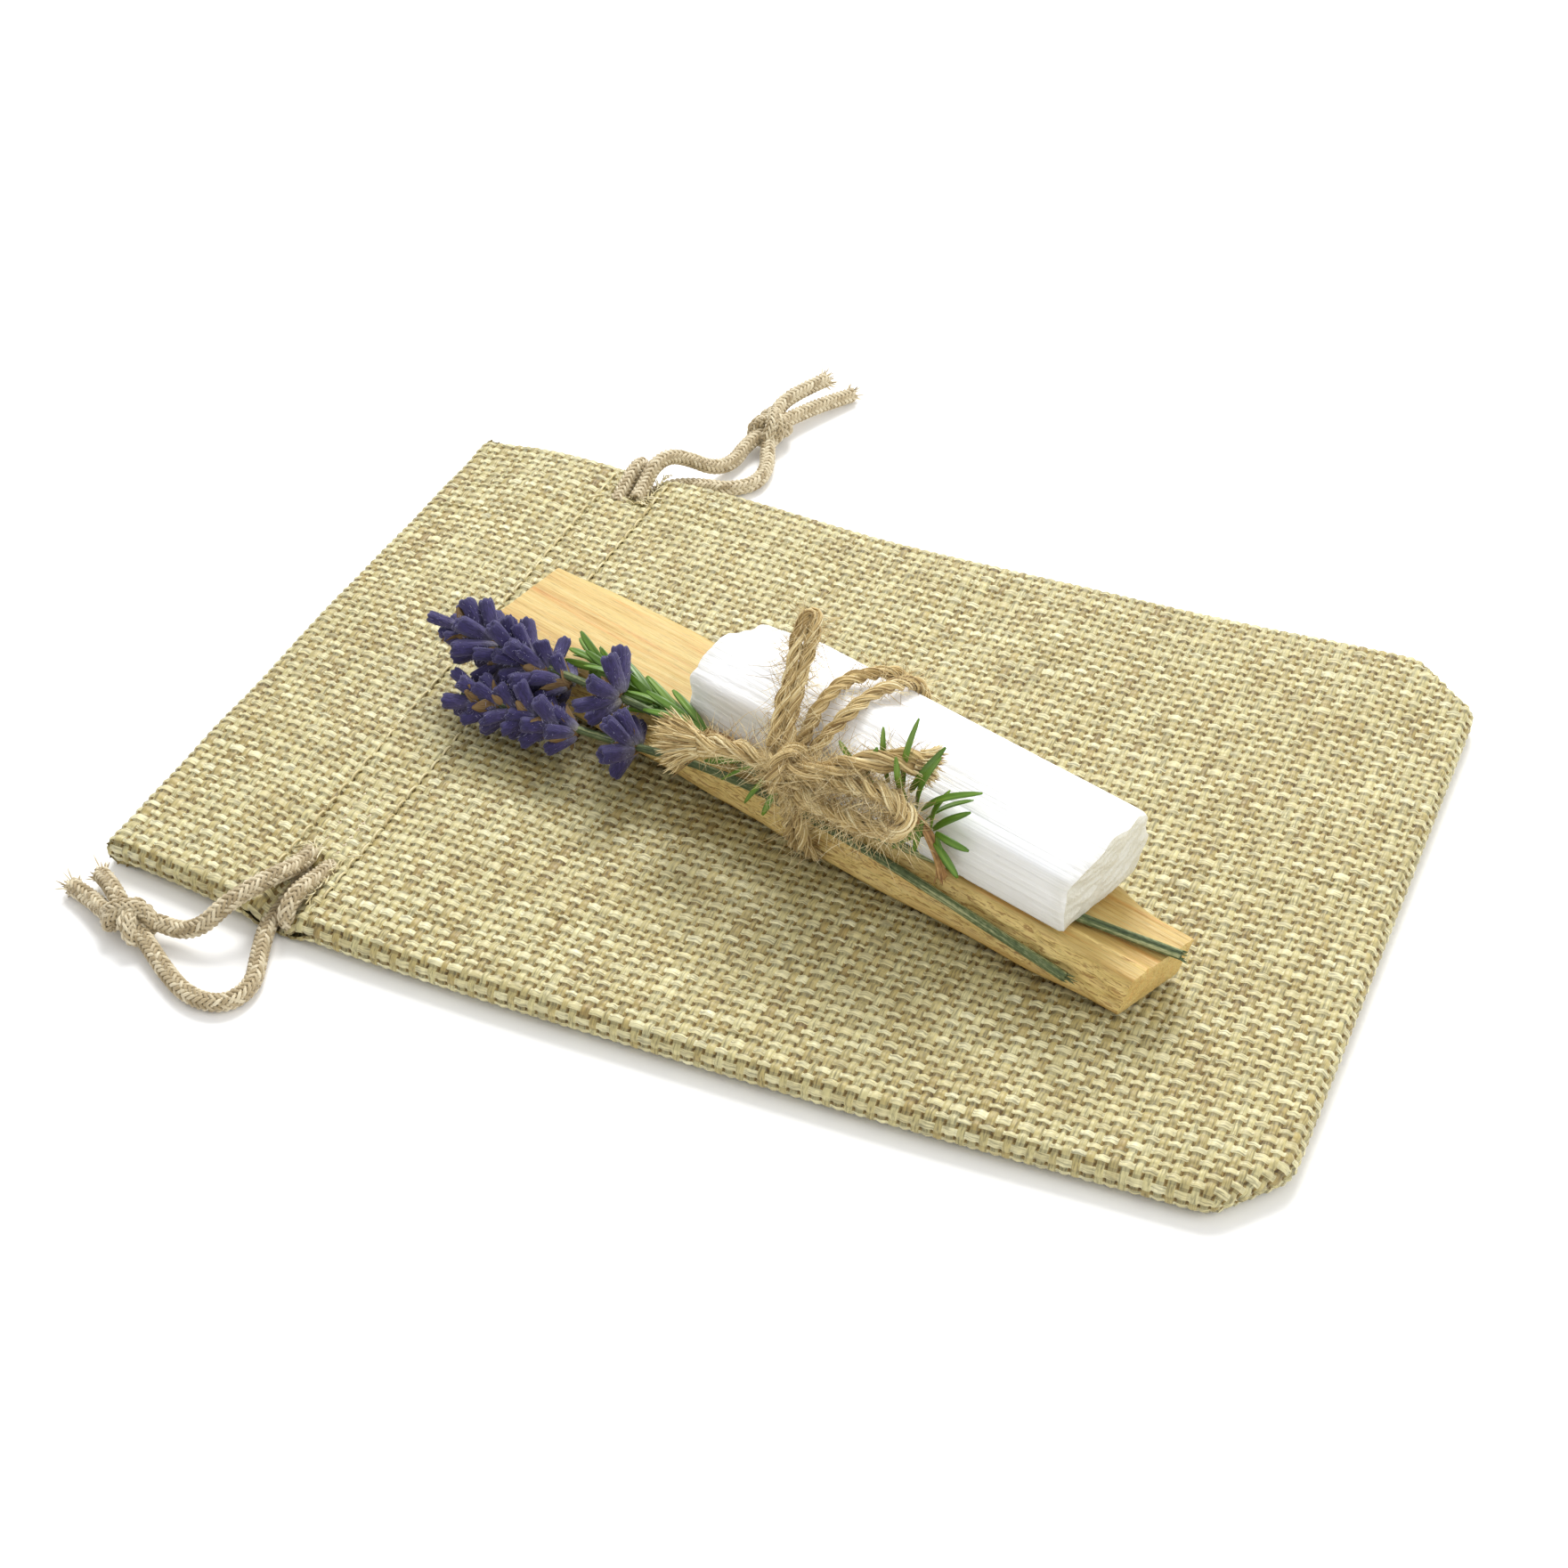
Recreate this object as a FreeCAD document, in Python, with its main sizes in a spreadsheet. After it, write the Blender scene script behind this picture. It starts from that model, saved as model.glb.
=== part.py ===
"""Herb bundle tied with twine, lying on its flat drawstring pouch.

Frame, in millimetres: +X runs along the pouch from its mouth to its closed end, +Y to the
far side and +Z up. The origin is on the table, under the middle of the pouch.
The bundle has a frame of its own, turned about Z: s along the stick, v across it.
"""
import FreeCAD, Part
import math
import os
import Sketcher
from FreeCAD import Placement, Rotation, Vector

SIZES = {
    # pouch
    "pouch_length": 140.0,
    "pouch_width": 99.8,
    "cloth": 0.8,
    "hem_fold": 1.2,
    "layer_gap": 0.05,
    "hem_parting": 0.1,
    "header_depth": 29.0,
    "side_slant": 3.0,
    "far_waist": 2.3,
    "corner_cut_long": 10.0,
    "corner_cut_short": 8.6,
    "mouth_corner_radius": 3.2,
    "seam_allowance": 4.0,
    "casing_place": 21.6,
    "casing_width": 5.8,
    "near_slit_depth": 8.5,
    "far_slit_depth": 6.5,
    "slit_hem_room": 4.2,
    "stitch_long": 2.3,
    "stitch_pitch": 3.4,
    "stitch_thick": 0.3,
    # drawstrings
    "cord_diameter": 2.3,
    "cord_flat": 0.8,
    "cord_flat_width": 2.4,
    "cord_spacing": 2.7,
    "turn_diameter": 1.7,
    "turn_height": 1.9,
    "cord_slack": 3.0,
    "knot_long": 3.9,
    "knot_wide": 2.7,
    "knot_tall": 2.2,
    # bundle
    "bundle_place_x": 4.0,
    "bundle_place_y": -5.85,
    "bundle_turn": -17.0,
    "bundle_clear": 0.1,
    "stick_length": 98.0,
    "stick_thick": 6.0,
    "stick_end_slant": 2.2,
    "stick_near_wide": 10.0,
    "stick_near_narrow": 7.2,
    "stick_far_narrow": 3.3,
    "stick_far_step": 8.8,
    "stick_far_corner": 27.4,
    "stick_far_wide": 7.05,
    "stick_far_end": 6.4,
    "crystal_length": 56.3,
    "crystal_thick": 10.3,
    "crystal_left": 16.5,
    "crystal_near": 7.4,
    "crystal_base_inset": 0.3,
    "crystal_base_far": 5.1,
    "crystal_far": 7.5,
    "crystal_far_rise": 3.3,
    "crystal_roof_far": 6.0,
    "crystal_roof_rise": 7.75,
    "crystal_ridge": 2.0,
    "crystal_near_rise": 7.5,
    "herb_gap": 1.4,
    "stem_diameter": 1.3,
    "twig_diameter": 1.1,
    "twine_diameter": 2.2,
    "twine_under": 0.7,
    "wrap_spacing": 3.3,
    "wrap_place": 4.2,
    "wrap_under_near": 9.3,
    "wrap_under_far": 5.9,
    "wrap_far": 8.2,
    "wrap_far_rise": 3.7,
    "wrap_roof_far": 6.4,
    "wrap_roof_drop": 2.1,
    "wrap_ridge": 2.1,
    "wrap_ridge_rise": 0.35,
    "wrap_roof_near": 7.9,
    "wrap_near_drop": 2.3,
    "wrap_near": 11.5,
    "wrap_near_rise": 3.2,
    "wrap_near_foot": 1.4,
    "head_long": 10.5,
    "head_wide": 4.3,
    "whorl_long": 3.4,
    "whorl_wide": 3.5,
    "needle_length": 6.0,
    "needle_width": 0.7,
}

doc = FreeCAD.newDocument("herb_bundle_and_pouch")
sheet = doc.addObject("Spreadsheet::Sheet", "Sizes")
for row, (alias, number) in enumerate(SIZES.items(), start=1):
    sheet.set(f"A{row}", alias)
    sheet.set(f"B{row}", str(number))
    sheet.setAlias(f"B{row}", alias)
doc.recompute()


class Size:
    """A length that knows its number now and the expression that keeps it bound."""

    def __init__(self, value, text):
        self.value = value
        self.text = text

    def join(self, other, sign, value):
        text = other.text if isinstance(other, Size) else str(other)
        return Size(value, f"({self.text} {sign} {text})")

    def __add__(self, other):
        return self.join(other, "+", self.value + number_of(other))

    def __sub__(self, other):
        return self.join(other, "-", self.value - number_of(other))

    def __mul__(self, other):
        return self.join(other, "*", self.value * number_of(other))

    def __truediv__(self, other):
        return self.join(other, "/", self.value / number_of(other))

    def __neg__(self):
        return Size(-self.value, f"(0 - {self.text})")


def number_of(size):
    return size.value if isinstance(size, Size) else float(size)


def cell(alias):
    return Size(float(sheet.get(alias)), f"Sizes.{alias}")


# ---------------------------------------------------------------- derived sizes
half_length = cell("pouch_length") / 2
half_width = cell("pouch_width") / 2
hem_low = cell("cloth") + cell("layer_gap")
hem_top = hem_low + cell("hem_fold")
upper_hem_low = hem_top + cell("hem_parting")
upper_hem_top = upper_hem_low + cell("hem_fold")
front_low = upper_hem_top + cell("layer_gap")
pouch_top = front_low + cell("cloth")
casing_low = -half_length + cell("casing_place")
casing_high = casing_low + cell("casing_width")
header_end = -half_length + cell("header_depth")

near_side_y = -half_width + cell("side_slant")
far_mouth_y = half_width - cell("side_slant")
bundle_low = pouch_top + cell("bundle_clear")
stick_low = bundle_low + cell("twine_under") + cell("layer_gap")
stick_top = stick_low + cell("stick_thick")
crystal_low = stick_top + cell("herb_gap")
crystal_top = crystal_low + cell("crystal_thick")

bundle_frame = Placement(
    Vector(cell("bundle_place_x").value, cell("bundle_place_y").value, 0),
    Rotation(Vector(0, 0, 1), cell("bundle_turn").value),
)
parts = []


def keep(shape_object, label):
    """Name a finished sub-part and add it to those that are written out."""
    shape_object.Label = label
    parts.append(shape_object)
    return shape_object


def origin_plane(body, role):
    return next(f for f in body.Origin.OriginFeatures if f.Role == role)


def bound_sketch(body, role, offset, corners, bulges):
    """Closed outline: corners are pairs of Size; bulges maps an edge's index to its arc radius."""
    sketch = body.newObject("Sketcher::SketchObject", "Outline")
    sketch.AttachmentSupport = [(origin_plane(body, role), "")]
    sketch.MapMode = "FlatFace"
    sketch.setExpression("AttachmentOffset.Base.z", offset.text)
    points = [Vector(x.value, y.value, 0) for x, y in corners]
    for index, point in enumerate(points):
        following = points[(index + 1) % len(points)]
        if index in bulges:
            sketch.addGeometry(arc_edge(point, following, bulges[index].value))
        else:
            sketch.addGeometry(Part.LineSegment(point, following))
    ends = [arc_ends(bulges[i].value) if i in bulges else (1, 2) for i in range(len(points))]
    for index, (x, y) in enumerate(corners):
        previous = index - 1 if index else len(points) - 1
        sketch.addConstraint(
            Sketcher.Constraint("Coincident", previous, ends[previous][1], index, ends[index][0])
        )
        for axis, size in (("DistanceX", x), ("DistanceY", y)):
            number = sketch.addConstraint(
                Sketcher.Constraint(axis, -1, 1, index, ends[index][0], size.value)
            )
            sketch.setExpression(f"Constraints[{number}]", size.text)
    for index, radius in bulges.items():
        number = sketch.addConstraint(Sketcher.Constraint("Radius", index, abs(radius.value)))
        text = radius.text if radius.value > 0 else f"(0 - {radius.text})"
        sketch.setExpression(f"Constraints[{number}]", text)
    return sketch


def arc_ends(radius):
    """Which end of a counter-clockwise arc comes first along the outline."""
    return (1, 2) if radius > 0 else (2, 1)


def arc_edge(start, end, radius):
    """Arc from start to end, bulging to the right of the way along when radius is positive."""
    chord = end - start
    side = Vector(chord.y, -chord.x, 0).normalize()
    rise = abs(radius) - math.sqrt(radius * radius - chord.Length ** 2 / 4)
    middle = (start + end) / 2 + side * math.copysign(rise, radius)
    first, last = (start, end) if radius > 0 else (end, start)
    return Part.Arc(first, middle, last)


def padded(label, role, offset, corners, height, bulges=None, frame=None):
    """A plate: one outline padded by a height bound to the sheet."""
    body = doc.addObject("PartDesign::Body", label + "_body")
    sketch = bound_sketch(body, role, offset, corners, bulges or {})
    pad = body.newObject("PartDesign::Pad", "Pad")
    pad.Profile = sketch
    pad.setExpression("Length", height.text)
    sketch.Visibility = False
    if frame is not None:
        body.Placement = frame
    doc.recompute()
    return keep(body, label)


def bound_box(label, low, size):
    """A plain box whose corner and sides are all bound to the sheet."""
    box = doc.addObject("Part::Box", label + "_box")
    for name, length in zip(("Length", "Width", "Height"), size):
        box.setExpression(name, length.text)
    for axis, place in zip("xyz", low):
        box.setExpression(f"Placement.Base.{axis}", place.text)
    return box


def cut_from(label, base, tools):
    """Cut every tool from a finished sub-part, which the result replaces."""
    doc.recompute()
    before = base.Shape.Volume
    cut = doc.addObject("Part::Cut", label + "_cut")
    cut.Base = base
    cut.Tool = tools[0]
    if len(tools) > 1:
        joined = doc.addObject("Part::MultiFuse", label + "_tools")
        joined.Shapes = tools
        cut.Tool = joined
    doc.recompute()
    assert cut.Shape.Volume < before - 0.5, label + " was not cut"
    parts.remove(base)
    base.Label = label + "_blank"
    return keep(cut, label)


def solid_feature(label, shape, frame=None):
    """A free-form sub-part whose shape comes from Part's own functions."""
    feature = doc.addObject("Part::Feature", label + "_shape")
    feature.Shape = shape
    if frame is not None:
        feature.Placement = frame
    return keep(feature, label)


# ---------------------------------------------------------------- cord tubes
ARC_SHARE = 0.45


def rounded_path(points):
    """Straight runs joined by tangent arcs, each as large as its two runs allow."""
    edges = []
    radii = []
    start = points[0]
    for before, corner, after in zip(points, points[1:], points[2:]):
        towards = (before - corner).normalize()
        onwards = (after - corner).normalize()
        half_turn = (math.pi - towards.getAngle(onwards)) / 2
        trim = ARC_SHARE * min((before - corner).Length, (after - corner).Length)
        radius = trim / math.tan(half_turn)
        middle = (towards + onwards).normalize() * (radius / math.cos(half_turn) - radius)
        arc_start = corner + towards * trim
        arc_end = corner + onwards * trim
        edges.append(Part.LineSegment(start, arc_start).toShape())
        edges.append(Part.Arc(arc_start, corner + middle, arc_end).toShape())
        radii.append(radius)
        start = arc_end
    edges.append(Part.LineSegment(start, points[-1]).toShape())
    return Part.Wire(edges), radii


def tube(label, points, diameter, frame=None):
    """A round tube along a route; prints its bend radii and checks its volume."""
    route = [Vector(*point) for point in points]
    wire, radii = rounded_path(route)
    ring = Part.Circle(route[0], route[1] - route[0], diameter / 2).toShape()
    solid = wire.makePipeShell([Part.Wire([ring])], True, False)
    expected = math.pi * diameter ** 2 / 4 * wire.Length
    share = abs(solid.Volume) / expected
    spread = ", ".join(f"{radius:.1f}" for radius in radii)
    print(f"{label}: length {wire.Length:.1f}, radii {spread}, volume share {share:.3f}")
    assert 0.99 < share < 1.01, label + " has the wrong volume"
    return solid_feature(label, solid, frame)


def ellipsoid(label, centre, radii, turn=0.0, tip=0.0, frame=None):
    """A plump body: three half sizes, turned about Z and tipped up about its own Y."""
    ball = doc.addObject("Part::Ellipsoid", label + "_ball")
    for name, radius in zip(("Radius2", "Radius3", "Radius1"), radii):
        if isinstance(radius, Size):
            ball.setExpression(name, radius.text)
        else:
            ball.setPropertyStatus(name, "-ReadOnly")
            setattr(ball, name, radius)
    ball.Angle1 = -90
    ball.Angle2 = 90
    ball.Angle3 = 360
    place = Placement(Vector(*centre), Rotation(turn, tip, 0))
    ball.Placement = frame.multiply(place) if frame is not None else place
    return keep(ball, label)


# ---------------------------------------------------------------- pouch panels and hems
def panel_outline():
    """Four slightly bowed sides, cut corners at the closed end, square corners at the mouth."""
    return [
        (-half_length, near_side_y),
        (half_length - cell("corner_cut_short"), near_side_y),
        (half_length, near_side_y + cell("corner_cut_short")),
        (half_length, half_width - cell("corner_cut_short")),
        (half_length - cell("corner_cut_long"), half_width),
        (-half_length + cell("mouth_corner_radius"), far_mouth_y),
        (-half_length, far_mouth_y - cell("mouth_corner_radius")),
    ]


def bow_radius(chord, rise):
    """Radius of an arc from its chord and rise."""
    return chord * chord / rise / 8 + rise / 2


near_chord = cell("pouch_length") - cell("corner_cut_short")
far_chord = cell("pouch_length") - cell("corner_cut_long") - cell("mouth_corner_radius")
PANEL_BOWS = {
    0: bow_radius(near_chord, cell("side_slant")),
    4: -bow_radius(far_chord, cell("far_waist")),
}


def panel(label, low):
    return padded(label, "XY_Plane", low, panel_outline(), cell("cloth"), PANEL_BOWS)


def slit(label, side, low, height, depth):
    """The stitched opening of the casing at one side edge, as a cutting box."""
    reach = cell("side_slant") + 1.0
    if side < 0:
        inner = -half_width
    else:
        inner = half_width - cell("side_slant") - depth
    width = depth + reach
    return bound_box(label, (casing_low, inner, low), (cell("casing_width"), width, height))


def both_slits(label, low, height, room):
    """Openings at the near and the far edge; room is what the inner layers are cut back by."""
    near = slit(label + "_near_slit", -1, low, height, cell("near_slit_depth") + room)
    far = slit(label + "_far_slit", 1, low, height, cell("far_slit_depth") + room)
    return [near, far]


def side_line(side, inset):
    """A side edge moved in by an inset, at the mouth end of the pouch."""
    if side < 0:
        return -half_width + cell("side_slant") + inset
    return half_width - cell("side_slant") - cell("far_waist") * 0.5 - inset


def header_outline():
    """The folded hem inside the mouth, just clear of the panel's own edge."""
    inset = cell("layer_gap")
    low_x = -half_length + cell("cloth")
    return [
        (low_x, side_line(-1, inset)),
        (header_end, side_line(-1, inset)),
        (header_end, side_line(1, inset)),
        (low_x + cell("mouth_corner_radius"), side_line(1, inset)),
        (low_x, side_line(1, inset) - cell("mouth_corner_radius")),
    ]


def header_hem(label, low, groove_low):
    """A hem layer with the groove that makes the drawstring casing."""
    blank = padded(label, "XY_Plane", low, header_outline(), cell("hem_fold"))
    groove_height = cell("cord_flat") + cell("layer_gap") * 2
    groove_size = (cell("casing_width"), cell("pouch_width"), groove_height)
    groove = bound_box(label + "_groove", (casing_low, -half_width, groove_low), groove_size)
    room = cell("slit_hem_room")
    return cut_from(label, blank, [groove] + both_slits(label, low, cell("hem_fold"), room))


def pouch_cloth():
    none = cell("layer_gap") * 0
    for label, low in (("pouch_back_panel", none), ("pouch_front_panel", front_low)):
        cut_from(label, panel(label, low), both_slits(label, low, cell("cloth"), none))
    header_hem("back_header_hem", hem_low, hem_low)
    groove_low = upper_hem_top - cell("cord_flat") - cell("layer_gap") * 2
    header_hem("front_header_hem", upper_hem_low, groove_low)


def seams():
    """Turned-in seam allowances between the two panels, below the header."""
    height = front_low - cell("layer_gap") - hem_low
    start_x = header_end + cell("layer_gap") * 4
    end_x = half_length - cell("corner_cut_long") - cell("seam_allowance")
    length = end_x - start_x
    allowance = cell("seam_allowance")
    near_y = -half_width + cell("side_slant") + cell("layer_gap")
    far_y = half_width - cell("side_slant") - cell("far_waist") * 0.6 - allowance
    for label, low_y in (("near_side_seam", near_y), ("far_side_seam", far_y)):
        keep(bound_box(label, (start_x, low_y, hem_low), (length, allowance, height)), label)
    closed_x = half_length - allowance - 0.3
    low_y = near_side_y + cell("corner_cut_short")
    closed_width = half_width - cell("corner_cut_short") - low_y
    corner = (closed_x, low_y, hem_low)
    keep(bound_box("closed_end_seam", corner, (allowance, closed_width, height)), "closed_end_seam")


def casing_stitches():
    """Two rows of thread across the front of the header, one each side of the casing."""
    thick = cell("stitch_thick").value
    long = cell("stitch_long").value
    pitch = cell("stitch_pitch").value
    reach = half_width.value - cell("side_slant").value - cell("near_slit_depth").value
    count = int(2 * reach / pitch)
    lift = pouch_top.value + cell("layer_gap").value
    rows = []
    for row_x in (casing_low.value - 1.0, casing_high.value + 1.0):
        for number in range(count):
            low_y = -reach + number * pitch
            corner = Vector(row_x - thick / 2, low_y, lift)
            rows.append(Part.makeBox(thick, long, thick * 0.7, corner))
    solid_feature("casing_stitches", Part.makeCompound(rows))


# ---------------------------------------------------------------- drawstrings
near_cord_x = (casing_low + casing_high) / 2 - cell("cord_spacing") / 2
far_cord_x = (casing_low + casing_high) / 2 + cell("cord_spacing") / 2
back_run_z = hem_low + cell("layer_gap")
front_run_z = upper_hem_top - cell("layer_gap") - cell("cord_flat")

# Each route runs from where the cord leaves the casing to the knot, along the table.
NEAR_FRONT_STRAND = [
    (-46.85, -38.6, 3.7), (-46.9, -41.6, 4.0), (-47.1, -44.9, 5.6), (-48.5, -48.3, 5.8),
    (-50.3, -51.5, 5.0), (-52.0, -53.8, 3.0), (-54.6, -54.6, 2.0), (-57.6, -54.6, 2.3),
]
NEAR_BACK_STRAND = [
    (-46.85, -38.6, 1.2), (-46.9, -43.9, 1.25), (-46.6, -49.2, 1.2), (-44.9, -53.7, 1.2),
    (-42.9, -58.0, 1.2), (-44.1, -62.0, 1.2), (-48.4, -62.5, 1.2), (-52.8, -60.3, 1.2),
    (-57.5, -57.2, 1.6),
]
FAR_FRONT_STRAND = [
    (-44.15, 40.6, 3.7), (-44.2, 43.4, 4.2), (-44.2, 46.3, 5.7), (-43.4, 49.6, 5.7),
    (-41.3, 51.9, 4.2), (-38.9, 53.8, 2.2), (-37.3, 57.4, 1.3), (-37.2, 61.9, 1.9),
]
FAR_BACK_STRAND = [
    (-44.15, 40.6, 1.2), (-44.2, 44.6, 1.25), (-42.8, 48.5, 1.2), (-39.4, 50.6, 1.2),
    (-35.2, 51.3, 1.2), (-32.3, 54.2, 1.2), (-32.5, 58.5, 1.2), (-34.2, 62.2, 1.6),
]
NEAR_TAILS = {
    "near_cord_long_tail": [(-64.2, -55.4, 2.0), (-66.8, -53.9, 1.6), (-70.9, -52.6, 1.2)],
    "near_cord_short_tail": [(-64.1, -53.2, 3.0), (-66.2, -51.6, 2.7), (-68.4, -50.2, 1.9)],
}
FAR_TAILS = {
    "far_cord_long_tail": [(-34.0, 70.2, 2.1), (-31.6, 75.4, 1.9), (-28.9, 80.6, 1.2)],
    "far_cord_short_tail": [(-36.2, 70.4, 3.5), (-34.1, 75.4, 4.0), (-32.4, 79.0, 3.8)],
}


def turn_reach(side):
    """How far from the middle the edge turn begins, so that it can slide inward by the slack."""
    depth = cell("near_slit_depth") if side < 0 else cell("far_slit_depth")
    return half_width - cell("side_slant") - depth + cell("cord_slack") + 0.3


def casing_run(label, x, z, turn_side):
    """The flattened cord inside the casing, from its own slit to its edge turn."""
    width = cell("cord_flat_width")
    near_y = -half_width + cell("side_slant") + cell("near_slit_depth") - 0.15
    far_y = half_width - cell("side_slant") - cell("far_slit_depth") + 0.15
    if turn_side < 0:
        near_y = -turn_reach(turn_side)
    else:
        far_y = turn_reach(turn_side)
    box = bound_box(label, (x - width / 2, near_y, z), (width, far_y - near_y, cell("cord_flat")))
    return keep(box, label)


def edge_turn(label, x, side):
    """Where a cord comes out of the front casing, rounds the side edge and goes back in."""
    diameter = cell("turn_diameter").value
    edge = half_width.value - cell("side_slant").value
    start = side * turn_reach(side).value
    radius = cell("turn_height").value / 2
    outer = side * (edge - radius)
    centre_z = (back_run_z.value + front_run_z.value + cell("cord_flat").value) / 2
    low = centre_z - radius
    high = centre_z + radius
    middle = Vector(x, outer + side * radius, centre_z)
    path = Part.Wire([
        Part.LineSegment(Vector(x, start, high), Vector(x, outer, high)).toShape(),
        Part.Arc(Vector(x, outer, high), middle, Vector(x, outer, low)).toShape(),
        Part.LineSegment(Vector(x, outer, low), Vector(x, start, low)).toShape(),
    ])
    ring = Part.Circle(Vector(x, start, high), Vector(0, side, 0), diameter / 2).toShape()
    solid = path.makePipeShell([Part.Wire([ring])], True, False)
    print(f"{label}: radius {radius:.2f}, length {path.Length:.1f}")
    return solid_feature(label, solid)


def drawstring(name, x, strands, tails, turn_side, knot_centre, knot_turn):
    """One endless loop of cord: casing runs, turn at the other edge, two strands and a knot."""
    diameter = cell("cord_diameter").value
    for level, z in (("front", front_run_z), ("back", back_run_z)):
        casing_run(f"{name}_cord_{level}_casing_run", x, z, turn_side)
    edge_turn(f"{name}_cord_edge_turn", x.value, turn_side)
    for label, route in strands.items():
        tube(label, route, diameter)
    radii = (cell("knot_long"), cell("knot_wide"), cell("knot_tall"))
    ellipsoid(f"{name}_cord_knot", knot_centre, radii, knot_turn)
    for label, route in tails.items():
        tube(label, route, diameter * 0.85)


def drawstrings():
    near = {"near_cord_front_strand": NEAR_FRONT_STRAND, "near_cord_back_strand": NEAR_BACK_STRAND}
    far = {"far_cord_front_strand": FAR_FRONT_STRAND, "far_cord_back_strand": FAR_BACK_STRAND}
    drawstring("near", near_cord_x, near, NEAR_TAILS, 1, (-60.8, -55.5, 2.4), 165.0)
    drawstring("far", far_cord_x, far, FAR_TAILS, -1, (-35.3, 66.3, 2.6), 80.0)


# ---------------------------------------------------------------- wood and crystal
def stick():
    """Split stick of fragrant wood, wider at the flower end."""
    half = cell("stick_length") / 2
    slant = cell("stick_end_slant")
    far_narrow = cell("stick_far_narrow")
    corners = [
        (-half + slant, -cell("stick_near_wide")),
        (half - slant, -cell("stick_near_narrow")),
        (half, far_narrow),
        (half - cell("stick_far_step"), far_narrow - cell("bundle_clear")),
        (-cell("stick_far_corner"), cell("stick_far_wide")),
        (-half, cell("stick_far_end")),
    ]
    padded("palo_santo_stick", "XY_Plane", stick_low, corners, cell("stick_thick"), frame=bundle_frame)


def crystal():
    """Selenite prism: a flat base, upright near face and a roof that slopes to the far side."""
    near = -cell("crystal_near")
    profile = [
        (near + cell("crystal_base_inset"), crystal_low),
        (cell("crystal_base_far"), crystal_low),
        (cell("crystal_far"), crystal_low + cell("crystal_far_rise")),
        (cell("crystal_roof_far"), crystal_low + cell("crystal_roof_rise")),
        (-cell("crystal_ridge"), crystal_top),
        (near, crystal_low + cell("crystal_near_rise")),
    ]
    left = -cell("crystal_left")
    padded("selenite_crystal", "YZ_Plane", left, profile, cell("crystal_length"), frame=bundle_frame)


# ---------------------------------------------------------------- herbs
UPPER_STEM = [
    (-31.6, -11.6, 14.6), (-24.5, -11.2, 14.4), (-14.0, -10.3, 13.9), (-4.0, -10.1, 13.0),
    (6.0, -9.6, 12.3), (15.0, -8.4, 11.8), (26.0, -6.4, 11.74), (38.0, -4.6, 11.75),
    (51.0, -2.0, 11.8),
]
LOWER_STEM = [
    (-27.4, -16.0, 10.2), (-20.4, -14.5, 10.6), (-11.0, -12.2, 11.3), (-2.0, -10.7, 11.2),
    (6.0, -10.0, 10.6), (15.0, -9.4, 10.0), (29.0, -9.15, 8.6), (42.6, -9.0, 7.2),
]
ROSEMARY_STEM = [
    (-33.0, -6.6, 12.6), (-24.0, -7.4, 12.4), (-14.5, -8.6, 12.9), (-5.0, -8.7, 14.3),
    (4.0, -9.1, 15.0), (10.2, -9.3, 17.1), (15.6, -9.8, 19.9), (20.0, -9.6, 19.6),
    (22.8, -9.1, 16.4), (24.0, -8.9, 11.7),
]


def flower_spike(name, head_centre, head_turn, head_tip, whorl_centre, stem):
    """Lavender: a stem, the whorl of buds below the head, and the head itself."""
    tube(f"lavender_{name}_stem", stem, cell("stem_diameter").value, bundle_frame)
    head = (cell("head_long"), cell("head_wide"), cell("head_wide") * 0.85)
    ellipsoid(f"lavender_{name}_head", head_centre, head, head_turn, head_tip, bundle_frame)
    whorl = (cell("whorl_long"), cell("whorl_wide"), cell("whorl_wide"))
    ellipsoid(f"lavender_{name}_whorl", whorl_centre, whorl, head_turn, 0.0, bundle_frame)


def needle(base, direction, length, width):
    """One narrow leaf: a slim double cone along its direction."""
    belly = length * 0.45
    lower = Part.makeCone(width * 0.3, width / 2, belly, base, direction)
    upper_base = base + direction * belly
    upper = Part.makeCone(width / 2, width * 0.12, length - belly, upper_base, direction)
    return lower.fuse(upper)


def needles(label, stations, spread):
    """Leaves on both sides of the twig, in a group of separate solids."""
    length = cell("needle_length").value
    width = cell("needle_width").value
    start_gap = cell("twig_diameter").value / 2 + 0.15
    leaves = []
    for number, (place, along) in enumerate(stations):
        axis = Vector(*along).normalize()
        across = axis.cross(Vector(0, 0, 1)).normalize()
        rise = across.cross(axis)
        for side in spread:
            angle = math.radians(side + 12 * (number % 3 - 1))
            out = across * math.cos(angle) + rise * math.sin(angle)
            direction = (out * 0.8 + axis * 0.6).normalize()
            leaves.append(needle(Vector(*place) + out * start_gap, direction, length, width))
    solid_feature(label, Part.makeCompound(leaves), bundle_frame)


def rosemary():
    tube("rosemary_stem", ROSEMARY_STEM, cell("twig_diameter").value, bundle_frame)
    left_places = [((-32.0, -6.7, 12.6), (-1, 0.1, 0)), ((-28.5, -7.0, 12.5), (-1, 0.1, 0)),
                   ((-25.0, -7.3, 12.4), (-1, 0.1, 0)), ((-21.0, -7.8, 12.5), (-1, 0.1, 0))]
    needles("rosemary_tip_needles", left_places, (80, 45, 10))
    right_places = [((22.0, -9.35, 17.5), (-0.5, 0, 0.85)), ((22.8, -9.15, 15.9), (-0.4, 0, 0.9)),
                    ((23.3, -9.05, 14.4), (-0.3, 0, 0.95)), ((23.7, -8.95, 12.9), (-0.2, 0, 0.97))]
    needles("rosemary_cut_end_needles", right_places, (94, 140, 200))


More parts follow.
